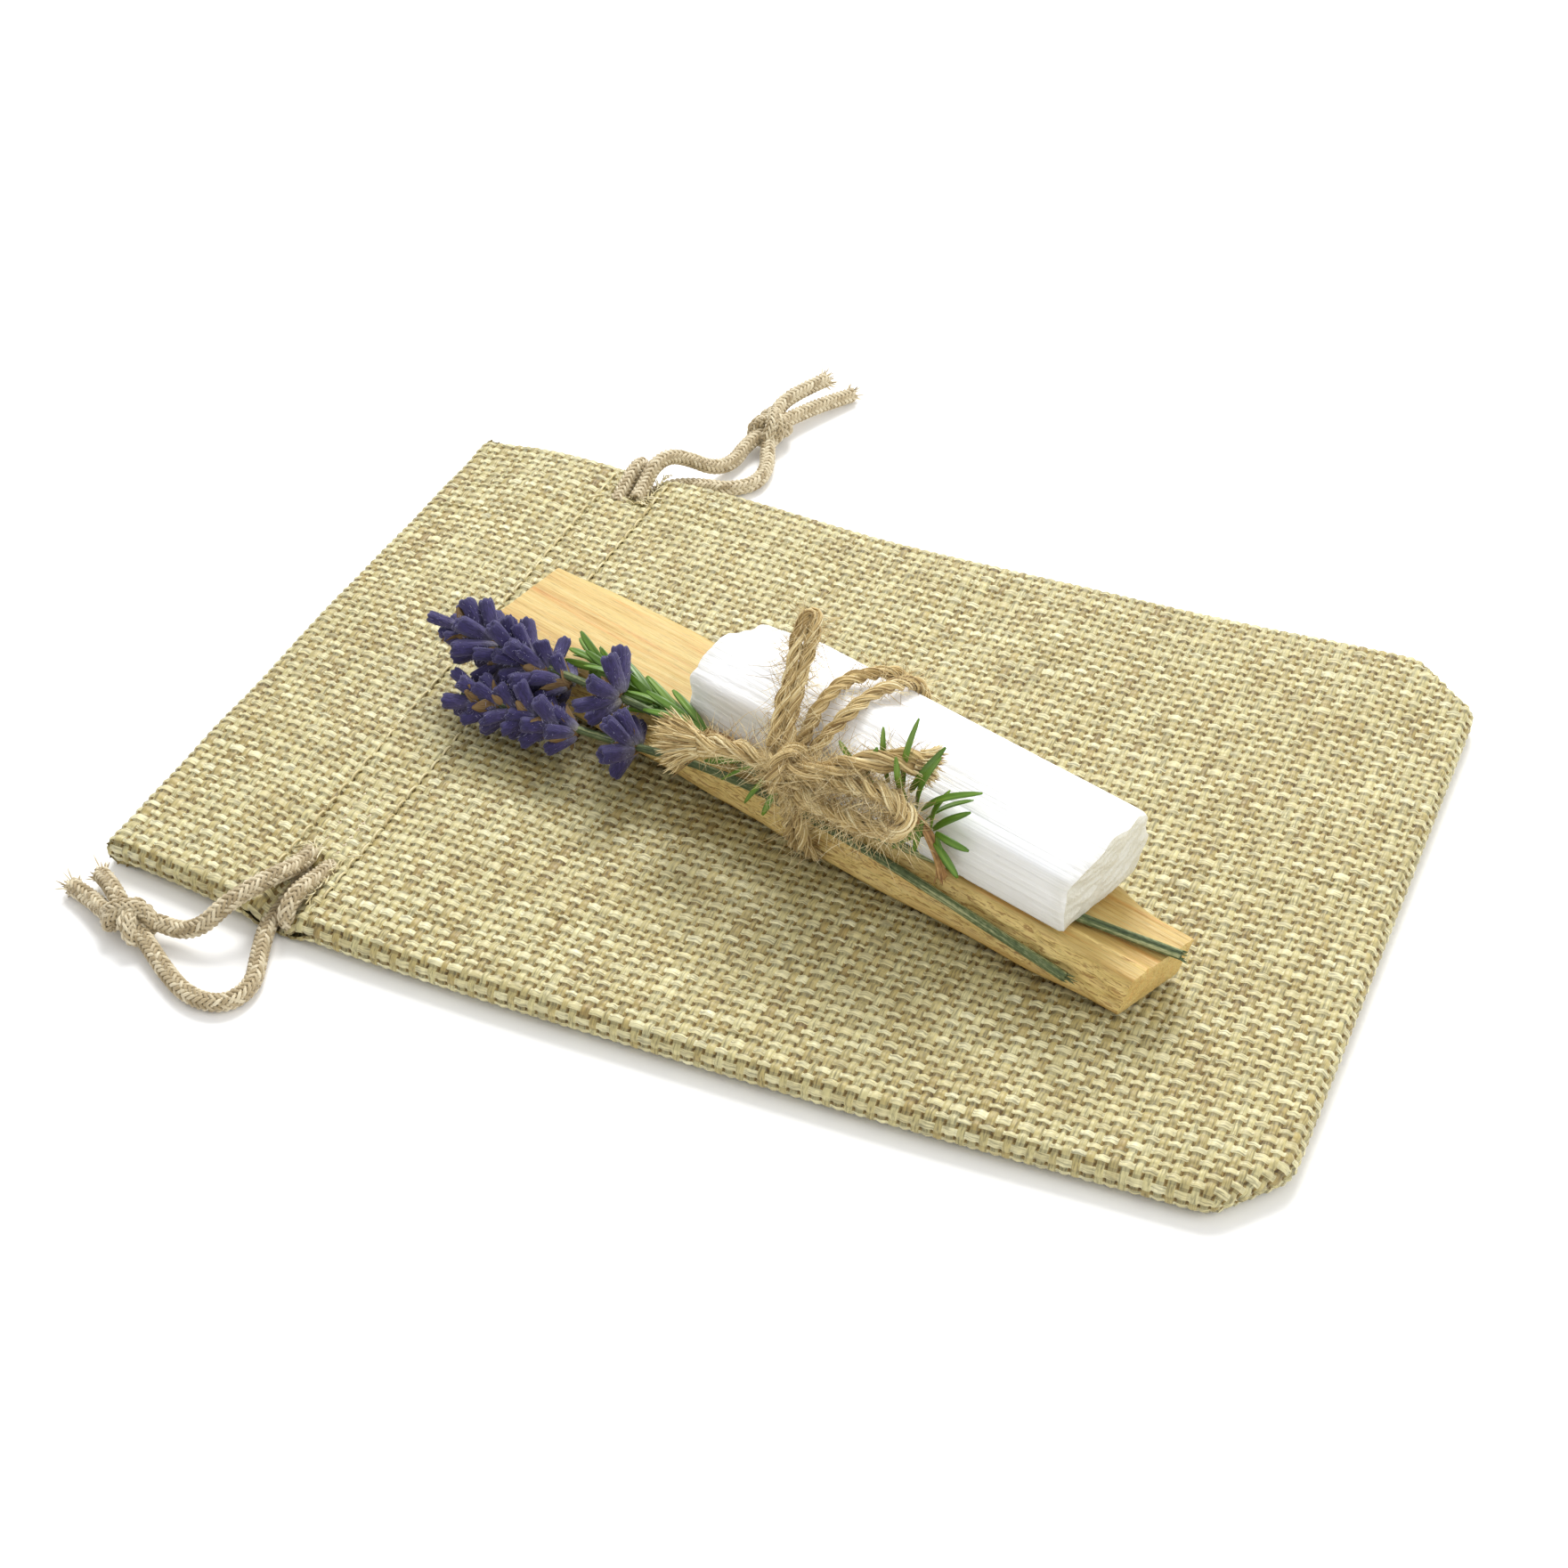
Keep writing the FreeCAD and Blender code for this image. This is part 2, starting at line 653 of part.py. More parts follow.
# ---------------------------------------------------------------- twine tie
def wrap_outline(grown):
    """Section of the tied bundle inside the twine, or outside it when grown by its thickness."""
    twine = cell("twine_diameter") * grown
    low = stick_low - cell("layer_gap") - cell("twine_under") * grown
    near = -cell("wrap_near") - twine
    # A corner between slanted faces moves out by a share of the twine along each axis.
    corners = [
        (-cell("wrap_under_near") - twine * 0.75, low),
        (cell("wrap_under_far") + twine * 0.8, low),
        (cell("wrap_far") + twine, crystal_low + twine * 0.1),
        (cell("wrap_far") + twine, crystal_low + cell("wrap_far_rise")),
        (cell("wrap_roof_far") + twine * 0.75, crystal_top - cell("wrap_roof_drop") + twine * 0.8),
        (-cell("wrap_ridge") - twine * 0.1, crystal_top + cell("wrap_ridge_rise") + twine),
        (-cell("wrap_roof_near") - twine * 0.8, crystal_top - cell("wrap_near_drop") + twine * 0.6),
        (near, stick_top + cell("wrap_near_rise")),
        (near, stick_top - cell("wrap_near_foot")),
    ]
    return corners


def twine_wrap(label, place):
    """One tight turn of twine round stick, stems and crystal."""
    width = cell("twine_diameter")
    band = padded(label, "YZ_Plane", place - width / 2, wrap_outline(1.0), width, frame=bundle_frame)
    inside = doc.addObject("PartDesign::Body", label + "_inside_body")
    sketch = bound_sketch(inside, "YZ_Plane", place - width, wrap_outline(0.0), {})
    pad = inside.newObject("PartDesign::Pad", "Pad")
    pad.Profile = sketch
    pad.setExpression("Length", (width * 2).text)
    inside.Placement = bundle_frame
    return cut_from(label, band, [inside])


UPRIGHT_LOOP = [
    (2.8, -13.0, 21.4), (1.2, -9.9, 23.5), (-1.0, -5.6, 26.4), (-2.8, -2.2, 29.3),
    (-2.6, -0.2, 31.0), (-0.4, -0.3, 31.0), (0.9, -2.6, 29.2), (2.3, -6.2, 25.9),
    (3.9, -10.3, 23.5), (5.2, -12.5, 21.5),
]
SIDE_LOOP = [
    (7.0, -12.6, 20.0), (11.0, -11.9, 21.6), (15.4, -11.1, 23.0), (19.0, -10.6, 23.6),
    (20.9, -11.2, 22.6), (20.2, -12.4, 20.6), (17.0, -13.0, 19.2), (12.6, -13.4, 18.0),
    (7.8, -13.4, 17.2),
]
LEFT_TAIL = [(2.2, -12.9, 18.4), (-3.4, -12.8, 17.4), (-7.6, -13.3, 16.6), (-12.0, -14.6, 15.6)]
RIGHT_TAIL = [(6.6, -11.6, 22.3), (10.8, -8.9, 23.6), (14.6, -5.9, 24.2), (18.2, -2.2, 24.4)]


def twine_tie():
    twine = cell("twine_diameter").value
    middle = cell("wrap_place") + cell("wrap_spacing") / 2
    twine_wrap("twine_left_wrap", middle - cell("wrap_spacing") / 2)
    twine_wrap("twine_right_wrap", middle + cell("wrap_spacing") / 2)
    ellipsoid("twine_knot", (4.7, -13.0, 19.2), (3.0, 2.2, 2.6), 0.0, 0.0, bundle_frame)
    routes = {
        "twine_upright_loop": UPRIGHT_LOOP,
        "twine_side_loop": SIDE_LOOP,
        "twine_left_tail": LEFT_TAIL,
        "twine_right_tail": RIGHT_TAIL,
    }
    for label, route in routes.items():
        tube(label, route, twine, bundle_frame)


# ---------------------------------------------------------------- build and write
pouch_cloth()
seams()
casing_stitches()
drawstrings()
stick()
crystal()
flower_spike("upper", (-41.4, -12.2, 15.2), 2.0, 2.0, (-24.4, -11.2, 14.9), UPPER_STEM)
flower_spike("lower", (-36.8, -18.4, 9.4), 12.0, -2.0, (-20.2, -15.0, 10.3), LOWER_STEM)
rosemary()
twine_tie()
doc.recompute()

for item in doc.Objects:
    assert not {"Invalid", "Error"} & set(item.State), f"{item.Label}: {item.State}"
for part in parts:
    assert not part.Shape.isNull() and part.Shape.isValid(), part.Label

os.makedirs("parts", exist_ok=True)
for part in parts:
    part.Shape.exportStep(f"parts/{part.Label}.step")
print(len(parts), "sub-parts written")
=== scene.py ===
# Looks of a tied herb bundle that lies on its woven drawstring pouch.
# Lengths are in millimetres up to the mesh builders, which write metres.
# Pouch frame: the CAD frame. Bundle frame: s along the stick, v across it, z up.

import math

import bpy
import numpy as np
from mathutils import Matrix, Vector


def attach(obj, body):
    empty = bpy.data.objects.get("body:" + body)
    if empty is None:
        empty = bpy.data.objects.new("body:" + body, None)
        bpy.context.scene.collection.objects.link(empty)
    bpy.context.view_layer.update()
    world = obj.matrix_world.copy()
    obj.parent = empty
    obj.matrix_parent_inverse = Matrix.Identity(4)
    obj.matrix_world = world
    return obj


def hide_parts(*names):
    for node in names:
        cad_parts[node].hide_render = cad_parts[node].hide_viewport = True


MM = 0.001
FULL_TURN = 2 * math.pi

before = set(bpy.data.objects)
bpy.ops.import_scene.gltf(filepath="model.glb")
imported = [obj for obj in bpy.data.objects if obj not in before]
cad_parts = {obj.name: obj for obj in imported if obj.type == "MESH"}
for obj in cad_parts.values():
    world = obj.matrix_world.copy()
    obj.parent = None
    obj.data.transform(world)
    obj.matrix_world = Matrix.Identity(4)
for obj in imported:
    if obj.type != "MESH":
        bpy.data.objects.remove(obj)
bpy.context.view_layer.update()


# ---------------------------------------------------------------- numbers and lines
def smooth(low, high, value):
    """0 below low, 1 above high and an even change between them."""
    share = np.clip((value - low) / (high - low), 0, 1)
    return share * share * (3 - 2 * share)


def flowing(points, at):
    """A smooth line through (place, value) points, read at the given places."""
    places, values = np.array(points, float).T
    slopes = np.gradient(values, places)
    index = np.clip(np.searchsorted(places, at) - 1, 0, len(places) - 2)
    width = places[index + 1] - places[index]
    t = np.clip((at - places[index]) / width, 0, 1)
    rise = (3 - 2 * t) * t * t
    lead = (t - 1) ** 2 * t * width * slopes[index]
    lag = (t - 1) * t * t * width * slopes[index + 1]
    return values[index] * (1 - rise) + values[index + 1] * rise + lead + lag


def ripple(rng, x, y, size, count=7):
    """Random waves of about one size over a surface, from about -1 to 1."""
    total = 0.0
    for _ in range(count):
        heading = rng.uniform(0, math.pi)
        length = size * rng.uniform(0.7, 1.5)
        phase = rng.uniform(0, FULL_TURN)
        total = total + np.sin((x * math.cos(heading) + y * math.sin(heading)) * FULL_TURN / length + phase)
    return total / math.sqrt(count)


def wander(rng, count, spacing, at):
    """Random numbers from 0 to 1 that change smoothly along count separate threads."""
    knots = rng.random((count, int(np.max(at[1]) / spacing) + 3))
    thread = np.clip(at[0], 0, count - 1).astype(int)
    place = np.clip(at[1] / spacing, 0, None)
    low = place.astype(int)
    share = place - low
    return knots[thread, low] * (1 - share) + knots[thread, low + 1] * share


def unit(vectors):
    return vectors / np.maximum(np.linalg.norm(vectors, axis=-1, keepdims=True), 1e-9)


def resampled(line, step):
    """The same line, with points evenly spaced along it."""
    line = np.asarray(line, float)
    along = distance_along(line)
    places = np.linspace(0, along[-1], max(3, int(round(along[-1] / step)) + 1))
    return np.stack([np.interp(places, along, line[:, k]) for k in range(3)], axis=1)


def sides_along(line):
    """Two directions across a line that don't twist along it."""
    tangents = unit(np.gradient(line, axis=0))
    start = np.array([0.0, 0.0, 1.0]) if abs(tangents[0][2]) < 0.8 else np.array([1.0, 0.0, 0.0])
    first = []
    for tangent in tangents:
        start = start - tangent * (start @ tangent)
        start = start / np.linalg.norm(start)
        first.append(start)
    first = np.array(first)
    return first, np.cross(tangents, first)


def distance_along(line):
    """How far along the line each of its points is."""
    return np.concatenate([[0], np.cumsum(np.linalg.norm(np.diff(line, axis=0), axis=1))])


def spoke(side, other, angle):
    """The direction at an angle from side towards other."""
    return side * math.cos(angle) + other * math.sin(angle)


def route_line(route, step=0.25):
    """Points along the smooth line that has the route's points as its control points."""
    curve = bpy.data.curves.new("route", "CURVE")
    curve.dimensions = "3D"
    spline = curve.splines.new("NURBS")
    spline.points.add(len(route) - 1)
    for point, place in zip(spline.points, route):
        point.co = (*[number * MM for number in place], 1.0)
    spline.order_u = 3
    spline.use_endpoint_u = True
    spline.resolution_u = 24
    holder = bpy.data.objects.new("route", curve)
    mesh = bpy.data.meshes.new_from_object(holder)
    line = np.array([vertex.co for vertex in mesh.vertices], float) / MM
    bpy.data.objects.remove(holder)
    bpy.data.curves.remove(curve)
    bpy.data.meshes.remove(mesh)
    return resampled(line, step)


BUNDLE_PLACE = (4.0, -5.85)
BUNDLE_TURN = math.radians(-17.0)


def from_bundle(points):
    """Bundle frame to pouch frame."""
    cos, sin = math.cos(BUNDLE_TURN), math.sin(BUNDLE_TURN)
    x = BUNDLE_PLACE[0] + points[..., 0] * cos - points[..., 1] * sin
    y = BUNDLE_PLACE[1] + points[..., 0] * sin + points[..., 1] * cos
    return np.stack([x, y, points[..., 2]], axis=-1)


# ---------------------------------------------------------------- mesh building
def grid_faces(rows, columns, around=False):
    """Quads of a grid of points; around closes each row into a ring."""
    across = np.arange(columns if around else columns - 1)
    row, column = np.meshgrid(np.arange(rows - 1), across, indexing="ij")
    following = (column + 1) % columns
    corners = [row * columns + column, row * columns + following,
               (row + 1) * columns + following, (row + 1) * columns + column]
    return np.stack(corners, axis=-1).reshape(-1, 4)


def tube_faces(rows, columns):
    """Quads of a tube of rings, and a flat face that closes each end."""
    ends = [list(range(columns))[::-1], list(range((rows - 1) * columns, rows * columns))]
    return grid_faces(rows, columns, True).tolist() + ends


def edge_points(start, end, count):
    """Points along a straight edge, all but its end."""
    share = np.arange(count)[:, None] / count
    return np.array(start) * (1 - share) + np.array(end) * share


class Shape:
    """Points, faces and the values that its material reads, gathered for one mesh."""

    def __init__(self):
        self.points, self.faces, self.grain, self.tint = [], [], [], []
        self.count = 0

    def add(self, points, faces, grain, tint=0.5):
        points = np.asarray(points, float).reshape(-1, 3)
        self.faces += [[corner + self.count for corner in face] for face in faces]
        self.points.append(points)
        self.grain.append(np.asarray(grain, float).reshape(-1, 3))
        self.tint.append(np.broadcast_to(np.asarray(tint, float).reshape(-1), (len(points),)))
        self.count += len(points)

    def tubes(self, centres, first, second, radius, sides=6, tint=0.5, taper=0):
        """Round tubes: centres is strands x points x 3; each ring lies across its strand."""
        strands, count = centres.shape[:2]
        angle = np.arange(sides) * FULL_TURN / sides
        radius = np.broadcast_to(np.asarray(radius, float), (strands, count)).copy()
        if taper:
            radius[:, -taper:] *= np.linspace(1, 0.25, taper)
        ring = (first[..., None, :] * np.cos(angle)[:, None] + second[..., None, :] * np.sin(angle)[:, None])
        ring = np.broadcast_to(ring, (strands, count, sides, 3))
        points = centres[:, :, None, :] + ring * radius[:, :, None, None]
        shift = np.arange(strands)[:, None, None] * count * sides
        faces = (grid_faces(count, sides, True)[None] + shift).reshape(-1, 4).tolist()
        for low in range(0, strands * count * sides, count * sides):
            faces.append(list(range(low, low + sides))[::-1])
            faces.append(list(range(low + (count - 1) * sides, low + count * sides)))
        lengths = np.linalg.norm(np.diff(centres, axis=1), axis=2).cumsum(axis=1)
        along = np.concatenate([np.zeros((strands, 1)), lengths], axis=1)
        grain = np.zeros((strands, count, sides, 3))
        grain[..., 0] = along[:, :, None]
        grain[..., 1] = np.cos(angle) * radius[:, :, None]
        grain[..., 2] = np.sin(angle) * radius[:, :, None] + np.arange(strands)[:, None, None] * 7.0
        tint = np.broadcast_to(np.asarray(tint, float).reshape(-1, 1, 1), (strands, count, sides))
        self.add(points, faces, grain, tint)

    def threads(self, lines, radius, sides, tint, taper=0, lean=(0.13, 0.21, 1.0)):
        """Thin loose fibres: lines is fibres x points x 3."""
        lines = np.array(lines)
        ahead = unit(np.gradient(lines, axis=1))
        across = unit(np.cross(ahead, np.array(lean)))
        self.tubes(lines, across, np.cross(ahead, across), radius, sides, tint, taper)

    def rod(self, line, angle, radius, step):
        """One closed tube along a line; radius is points x sides."""
        first, second = sides_along(line)
        wide, high = radius * np.cos(angle), radius * np.sin(angle)
        points = line[:, None] + first[:, None] * wide[..., None] + second[:, None] * high[..., None]
        along = np.linspace(0, 1, len(line))[:, None] * len(line) * step + 0 * radius
        self.add(points, tube_faces(*radius.shape), np.stack([along, wide, high], axis=-1))

    def piece(self, name, material, slot, body, *nodes):
        """Write the mesh as a piece that rides on a body and stands for the CAD nodes."""
        points = np.concatenate(self.points)
        if body == "bundle":
            points = from_bundle(points)
        fields = {"grain": np.concatenate(self.grain), "tint": np.concatenate(self.tint)}
        made = mesh_piece(name, points, self.faces, material, body, fields)
        if nodes:
            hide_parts(*nodes)
        return made


FIELD_KINDS = {1: ("FLOAT", "value"), 3: ("FLOAT_VECTOR", "vector"), 4: ("FLOAT_COLOR", "color")}


def mesh_piece(name, points, faces, material, body, fields, face_fields=()):
    """A mesh in metres, with the values that its material reads at its points and faces."""
    mesh = bpy.data.meshes.new(name)
    mesh.from_pydata((points * MM).tolist(), [], faces)
    mesh.polygons.foreach_set("use_smooth", np.full(len(mesh.polygons), True))
    for domain, group in (("POINT", fields), ("FACE", dict(face_fields))):
        for key, values in group.items():
            kind, word = FIELD_KINDS[values[0].size]
            attribute = mesh.attributes.new(key, kind, domain)
            attribute.data.foreach_set(word, np.ascontiguousarray(values, np.float32).ravel())
    mesh.materials.append(material)
    made = bpy.data.objects.new(name, mesh)
    bpy.context.scene.collection.objects.link(made)
    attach(made, body)
    return made


# ---------------------------------------------------------------- material building
def shade(red, green, blue):
    """A colour given as 0 to 255 on a screen, as a shader reads it."""
    parts = [number / 255 for number in (red, green, blue)]
    linear = [p / 12.92 if p <= 0.04045 else ((p + 0.055) / 1.055) ** 2.4 for p in parts]
    return (*linear, 1.0)


class Paint:
    """A node material round one Principled shader; settings are its inputs' constants."""

    def __init__(self, name, **settings):
        self.material = bpy.data.materials.new(name)
        self.material.use_nodes = True
        self.tree = self.material.node_tree
        self.shader = self.tree.nodes["Principled BSDF"]
        self.normal = None
        for key, value in settings.items():
            self.shader.inputs[key.replace("_", " ")].default_value = value

    def node(self, kind, inputs=(), **settings):
        made = self.tree.nodes.new("ShaderNode" + kind)
        for key, value in settings.items():
            setattr(made, key, value)
        for key, value in dict(inputs).items():
            socket = made.inputs[key]
            if isinstance(value, bpy.types.NodeSocket):
                self.tree.links.new(value, socket)
            else:
                socket.default_value = value
        return made

    def field(self, name, output="Fac"):
        return self.node("Attribute", attribute_name=name).outputs[output]

    def noise(self, vector, scale, detail=3.0, distortion=0.0):
        inputs = {"Vector": vector, "Scale": scale, "Detail": detail, "Distortion": distortion}
        return self.node("TexNoise", inputs).outputs["Fac"]

    def grain(self, scale, detail=3.0, distortion=0.0):
        """Noise that follows the piece, with its own scale along it and across it."""
        place = self.node("Mapping", {"Vector": self.field("grain", "Vector"), "Scale": scale})
        return self.noise(place.outputs["Vector"], 1.0, detail, distortion)

    def ramp(self, value, *stops):
        """Stops are (place, grey) or (place, (red, green, blue)) pairs."""
        made = self.node("ValToRGB", {"Fac": value})
        elements = made.color_ramp.elements
        while len(elements) < len(stops):
            elements.new(0.5)
        for element, (position, colour) in zip(elements, stops):
            element.position = position
            element.color = shade(*colour) if isinstance(colour, tuple) else (colour, colour, colour, 1.0)
        return made.outputs["Color"]

    def mix(self, share, a, b, mode="MIX"):
        return self.node("Mix", {0: share, 6: a, 7: b}, data_type="RGBA", blend_type=mode).outputs[2]

    def times(self, a, b):
        return self.node("Math", {0: a, 1: b}, operation="MULTIPLY").outputs[0]

    def bump(self, height, strength, distance):
        inputs = {"Height": height, "Strength": strength, "Distance": distance * MM}
        if self.normal is not None:
            inputs["Normal"] = self.normal
        self.normal = self.node("Bump", inputs).outputs["Normal"]

    def done(self, colour, roughness=None):
        for key, value in (("Base Color", colour), ("Roughness", roughness), ("Normal", self.normal)):
            if value is not None:
                self.tree.links.new(value, self.shader.inputs[key])
        return self.material


# ---------------------------------------------------------------- camera, floor and light
def aim(thing, place, target):
    thing.location = place
    thing.rotation_euler = (Vector(target) - Vector(place)).to_track_quat("-Z", "Y").to_euler()


CAMERA_LENS = 62.1
CAMERA_TURN, CAMERA_TILT = math.radians(23.84), math.radians(40.586)
CAMERA_DISTANCE = 0.32815
CAMERA_TARGET = (-0.0035, -0.001525, 0.0)
FLOOR_HALF = 3.0


def linked(name, data):
    """A new object in the scene."""
    made = bpy.data.objects.new(name, data)
    bpy.context.scene.collection.objects.link(made)
    return made


def camera():
    data = bpy.data.cameras.new("camera")
    data.lens = CAMERA_LENS
    data.sensor_width = 36
    data.clip_start = 0.01
    made = linked("camera", data)
    level = math.cos(CAMERA_TILT)
    back = Vector((math.sin(CAMERA_TURN) * level, -math.cos(CAMERA_TURN) * level, math.sin(CAMERA_TILT)))
    target = Vector(CAMERA_TARGET)
    aim(made, target + back * CAMERA_DISTANCE, target)
    bpy.context.scene.camera = made


def floor():
    paint = Paint("floor", Roughness=0.85, Specular_IOR_Level=0.1)
    cloud = paint.noise(paint.node("TexCoord").outputs["Object"], 30.0)
    material = paint.done(paint.ramp(cloud, (0.0, (250, 250, 249)), (1.0, (255, 255, 255))))
    corners = [(x * FLOOR_HALF, y * FLOOR_HALF, 0) for x, y in ((-1, -1), (1, -1), (1, 1), (-1, 1))]
    mesh = bpy.data.meshes.new("floor")
    mesh.from_pydata(corners, [], [(0, 1, 2, 3)])
    mesh.materials.append(material)
    linked("floor", mesh)


def lamp(name, place, size, power):
    data = bpy.data.lights.new(name, "AREA")
    data.size = size
    data.energy = power
    aim(linked(name, data), place, (0, 0, 0))


def studio():
    """Soft light from above the far side, a weak one from the right and white surroundings."""
    lamp("far_softbox", (-0.25, 0.75, 0.95), 0.55, 13.5)
    lamp("right_softbox", (0.9, -0.1, 0.7), 0.8, 4.0)
    world = bpy.data.worlds.new("white_room")
    world.use_nodes = True
    background = world.node_tree.nodes["Background"]
    background.inputs["Color"].default_value = (1, 1, 1, 1)
    background.inputs["Strength"].default_value = 0.75
    bpy.context.scene.world = world
    bpy.context.scene.view_settings.view_transform = "Standard"


# ---------------------------------------------------------------- pouch cloth
LONG_YARNS = 68
HEADER_YARNS = 26
BODY_YARNS = 91
HEADER_SPAN = (-74.2, -41.6)
BODY_SPAN = (-41.6, 71.4)
YARN_THICK = 0.25
YARN_WAVE = 0.25
CROSS_STEPS = (0.0, 0.15, 0.5, 0.85)
LONG_STEPS = (0.0, 0.23, 0.5, 0.77)
MOUTH_X = -69.8
CLOSED_X = 70.2
SEAM_Z = 2.1
SEAM_ROLL, CORNER_ROLL, MOUTH_ROLL = 1.2, 1.3, 0.9
SEAM_ALLOWANCE = 1.1
YARN_BEND = 0.45
NEAR_EDGE = [(-74, -46.4), (-69, -46.6), (-60, -47.4), (-46.7, -49.0), (-23, -49.8), (-1.4, -49.5),
             (29.5, -48.7), (64, -46.9), (76, -46.4)]
FAR_EDGE = [(-74, 45.2), (-69, 45.8), (-62, 47.2), (-47, 47.3), (-36, 47.6), (-9, 46.3), (16, 47.0),
            (40, 48.0), (60, 49.6), (76, 50.0)]
CORNERS = [((63.2, -47.8), (71.0, -38.4)), ((60.6, 50.4), (70.8, 41.6))]
NEAR_SLIT = (-48.0, -43.2, -39.2, -60.0)
FAR_SLIT = (-47.6, -42.9, 41.4, 60.0)
STITCH_ROWS = (-49.4, -41.6)
STITCH_STEP, STITCH_LENGTH = 2.75, 2.35
NEAR_CORD_X, FAR_CORD_X = -46.85, -44.15
TURN_ROOM = 1.25


def turned(distance, radius, height, limit=math.pi / 2):
    """Roll cloth down over an edge: the new distance inside the edge, and the angle rolled."""
    length = math.pi / 2 * math.sqrt((radius ** 2 + height ** 2) / 2)
    beyond = radius - distance
    angle = np.clip(beyond / length * math.pi / 2, 0, limit)
    spare = np.maximum(beyond - length * limit / (math.pi / 2), 0)
    rolled = radius - radius * np.sin(angle) + spare
    return np.where(beyond > 0, rolled, distance), angle


def slit_distance(slit, x, y):
    """Distance outside the opening in the side of the casing; negative inside it."""
    low, high, inner, outer = slit
    return np.maximum(np.maximum(low - x, x - high), (inner - y) * np.sign(outer))


def corner_turned(x, y, start, end, seam_drop):
    """Roll a panel down over a slanting corner; the last value is how much height is left."""
    (x0, y0), (x1, y1) = start, end
    side = -1 if y0 < 0 else 1
    across = np.array([(y1 - y0) * -side, (x1 - x0) * side]) / math.hypot(x1 - x0, y1 - y0)
    if across[0] < 0:
        across = -across
    gap = -((x - x0) * across[0] + (y - y0) * across[1])
    new_gap, angle = turned(gap, CORNER_ROLL, seam_drop)
    moved = new_gap - gap
    return x - across[0] * moved, y - across[1] * moved, np.cos(angle)


def cloth_place(x, y, top, rng):
    """Where a point of the flat cut lies once the panel is sewn and laid down."""
    seam_drop = abs(top - SEAM_Z)
    near, far = flowing(NEAR_EDGE, x), flowing(FAR_EDGE, x)
    near_gap, near_angle = turned(y - near, SEAM_ROLL, seam_drop)
    far_gap, far_angle = turned(far - y, SEAM_ROLL, seam_drop)
    y = np.where(near_angle > 0, near + near_gap, np.where(far_angle > 0, far - far_gap, y))
    end_gap, end_angle = turned(CLOSED_X - x, SEAM_ROLL, seam_drop)
    x = CLOSED_X - end_gap
    drop_share = np.cos(near_angle) * np.cos(far_angle) * np.cos(end_angle)
    for start, end in CORNERS:
        x, y, left = corner_turned(x, y, start, end, seam_drop)
        drop_share = drop_share * left
    mouth_gap, mouth_angle = turned(x - MOUTH_X, MOUTH_ROLL, MOUTH_ROLL, math.pi)
    x = MOUTH_X + mouth_gap
    fold = MOUTH_ROLL * (1 - np.cos(mouth_angle))
    side = 1 if top > SEAM_Z else -1
    inside = smooth(0, 6, y - near) * smooth(0, 6, far - y) * smooth(0, 5, CLOSED_X - x)
    slack = (0.16 * ripple(rng, x, y, 34) + 0.12 * ripple(rng, x, y, 13)) * inside
    furrow = sum(0.16 * np.exp(-((x - row) / 0.7) ** 2) for row in STITCH_ROWS)
    puff = 0.25 * smooth(-41, -36, x) * smooth(0, 16, CLOSED_X - x) * inside
    level = top + side * (slack - furrow + puff - 0.2)
    if side < 0:
        level = np.clip(level, 0.42, 0.85)
    return x, y, SEAM_Z + (level - SEAM_Z) * drop_share - side * fold


def weave_height(u, v, loose):
    """Height of the plain weave, and 1 where the long yarn is on top."""
    column, row = np.floor(u).astype(int), np.floor(v).astype(int)
    over = np.where((column + row) % 2 == 0, 1.0, -1.0)
    du, dv = u - column - 0.5, v - row - 0.5

    def yarn(centre, across, half, thick):
        bulge = np.sqrt(np.clip(1 - (across / half) ** 2, 0, 1))
        return np.where(np.abs(across) < half, centre + thick * bulge, -1.0)

    long_yarn = yarn(YARN_WAVE * over * np.cos(math.pi * du), dv, 0.37 * loose, YARN_THICK)
    cross_yarn = yarn(-YARN_WAVE * over * np.cos(math.pi * dv), du, 0.42 * loose, YARN_THICK * 0.85)
    height = np.maximum(np.maximum(long_yarn, cross_yarn), -0.34)
    return height, (over > 0).astype(float)


LONG_YARN_COLOURS = [(0.0, (160, 142, 90)), (0.35, (190, 179, 130)), (0.7, (206, 198, 153)),
                     (1.0, (222, 217, 180))]
CROSS_YARN_COLOURS = [(0.0, (124, 96, 44)), (0.3, (164, 147, 90)), (0.65, (186, 176, 124)),
                      (1.0, (203, 196, 150))]
# Painted shade: the share of colour kept by faces in the gaps between yarns, with a brown cast.
GAP_PAINTED_SHADE = (0.44, 0.33, 0.14)


def blended(stops, value):
    places = [place for place, _ in stops]
    colours = np.array([shade(*colour)[:3] for _, colour in stops])
    return np.stack([np.interp(value, places, colours[:, k]) for k in range(3)], axis=-1)


def cloth_paint():
    """Flat synthetic burlap yarn: slightly shiny, with fine fibres along each yarn."""
    paint = Paint("burlap_yarn", Sheen_Weight=0.12, Specular_IOR_Level=0.55)
    fibre = paint.mix(paint.field("long"), paint.grain((5.0, 0.5, 1.0)), paint.grain((0.5, 5.0, 1.0)))
    streak = paint.ramp(fibre, (0.32, 0.5), (0.5, 1.02), (0.68, 1.22))
    colour = paint.mix(1.0, paint.field("yarn", "Color"), streak, "MULTIPLY")
    paint.bump(fibre, 0.5, 0.12)
    return paint.done(colour, paint.ramp(fibre, (0.25, 0.62), (0.75, 0.38)))


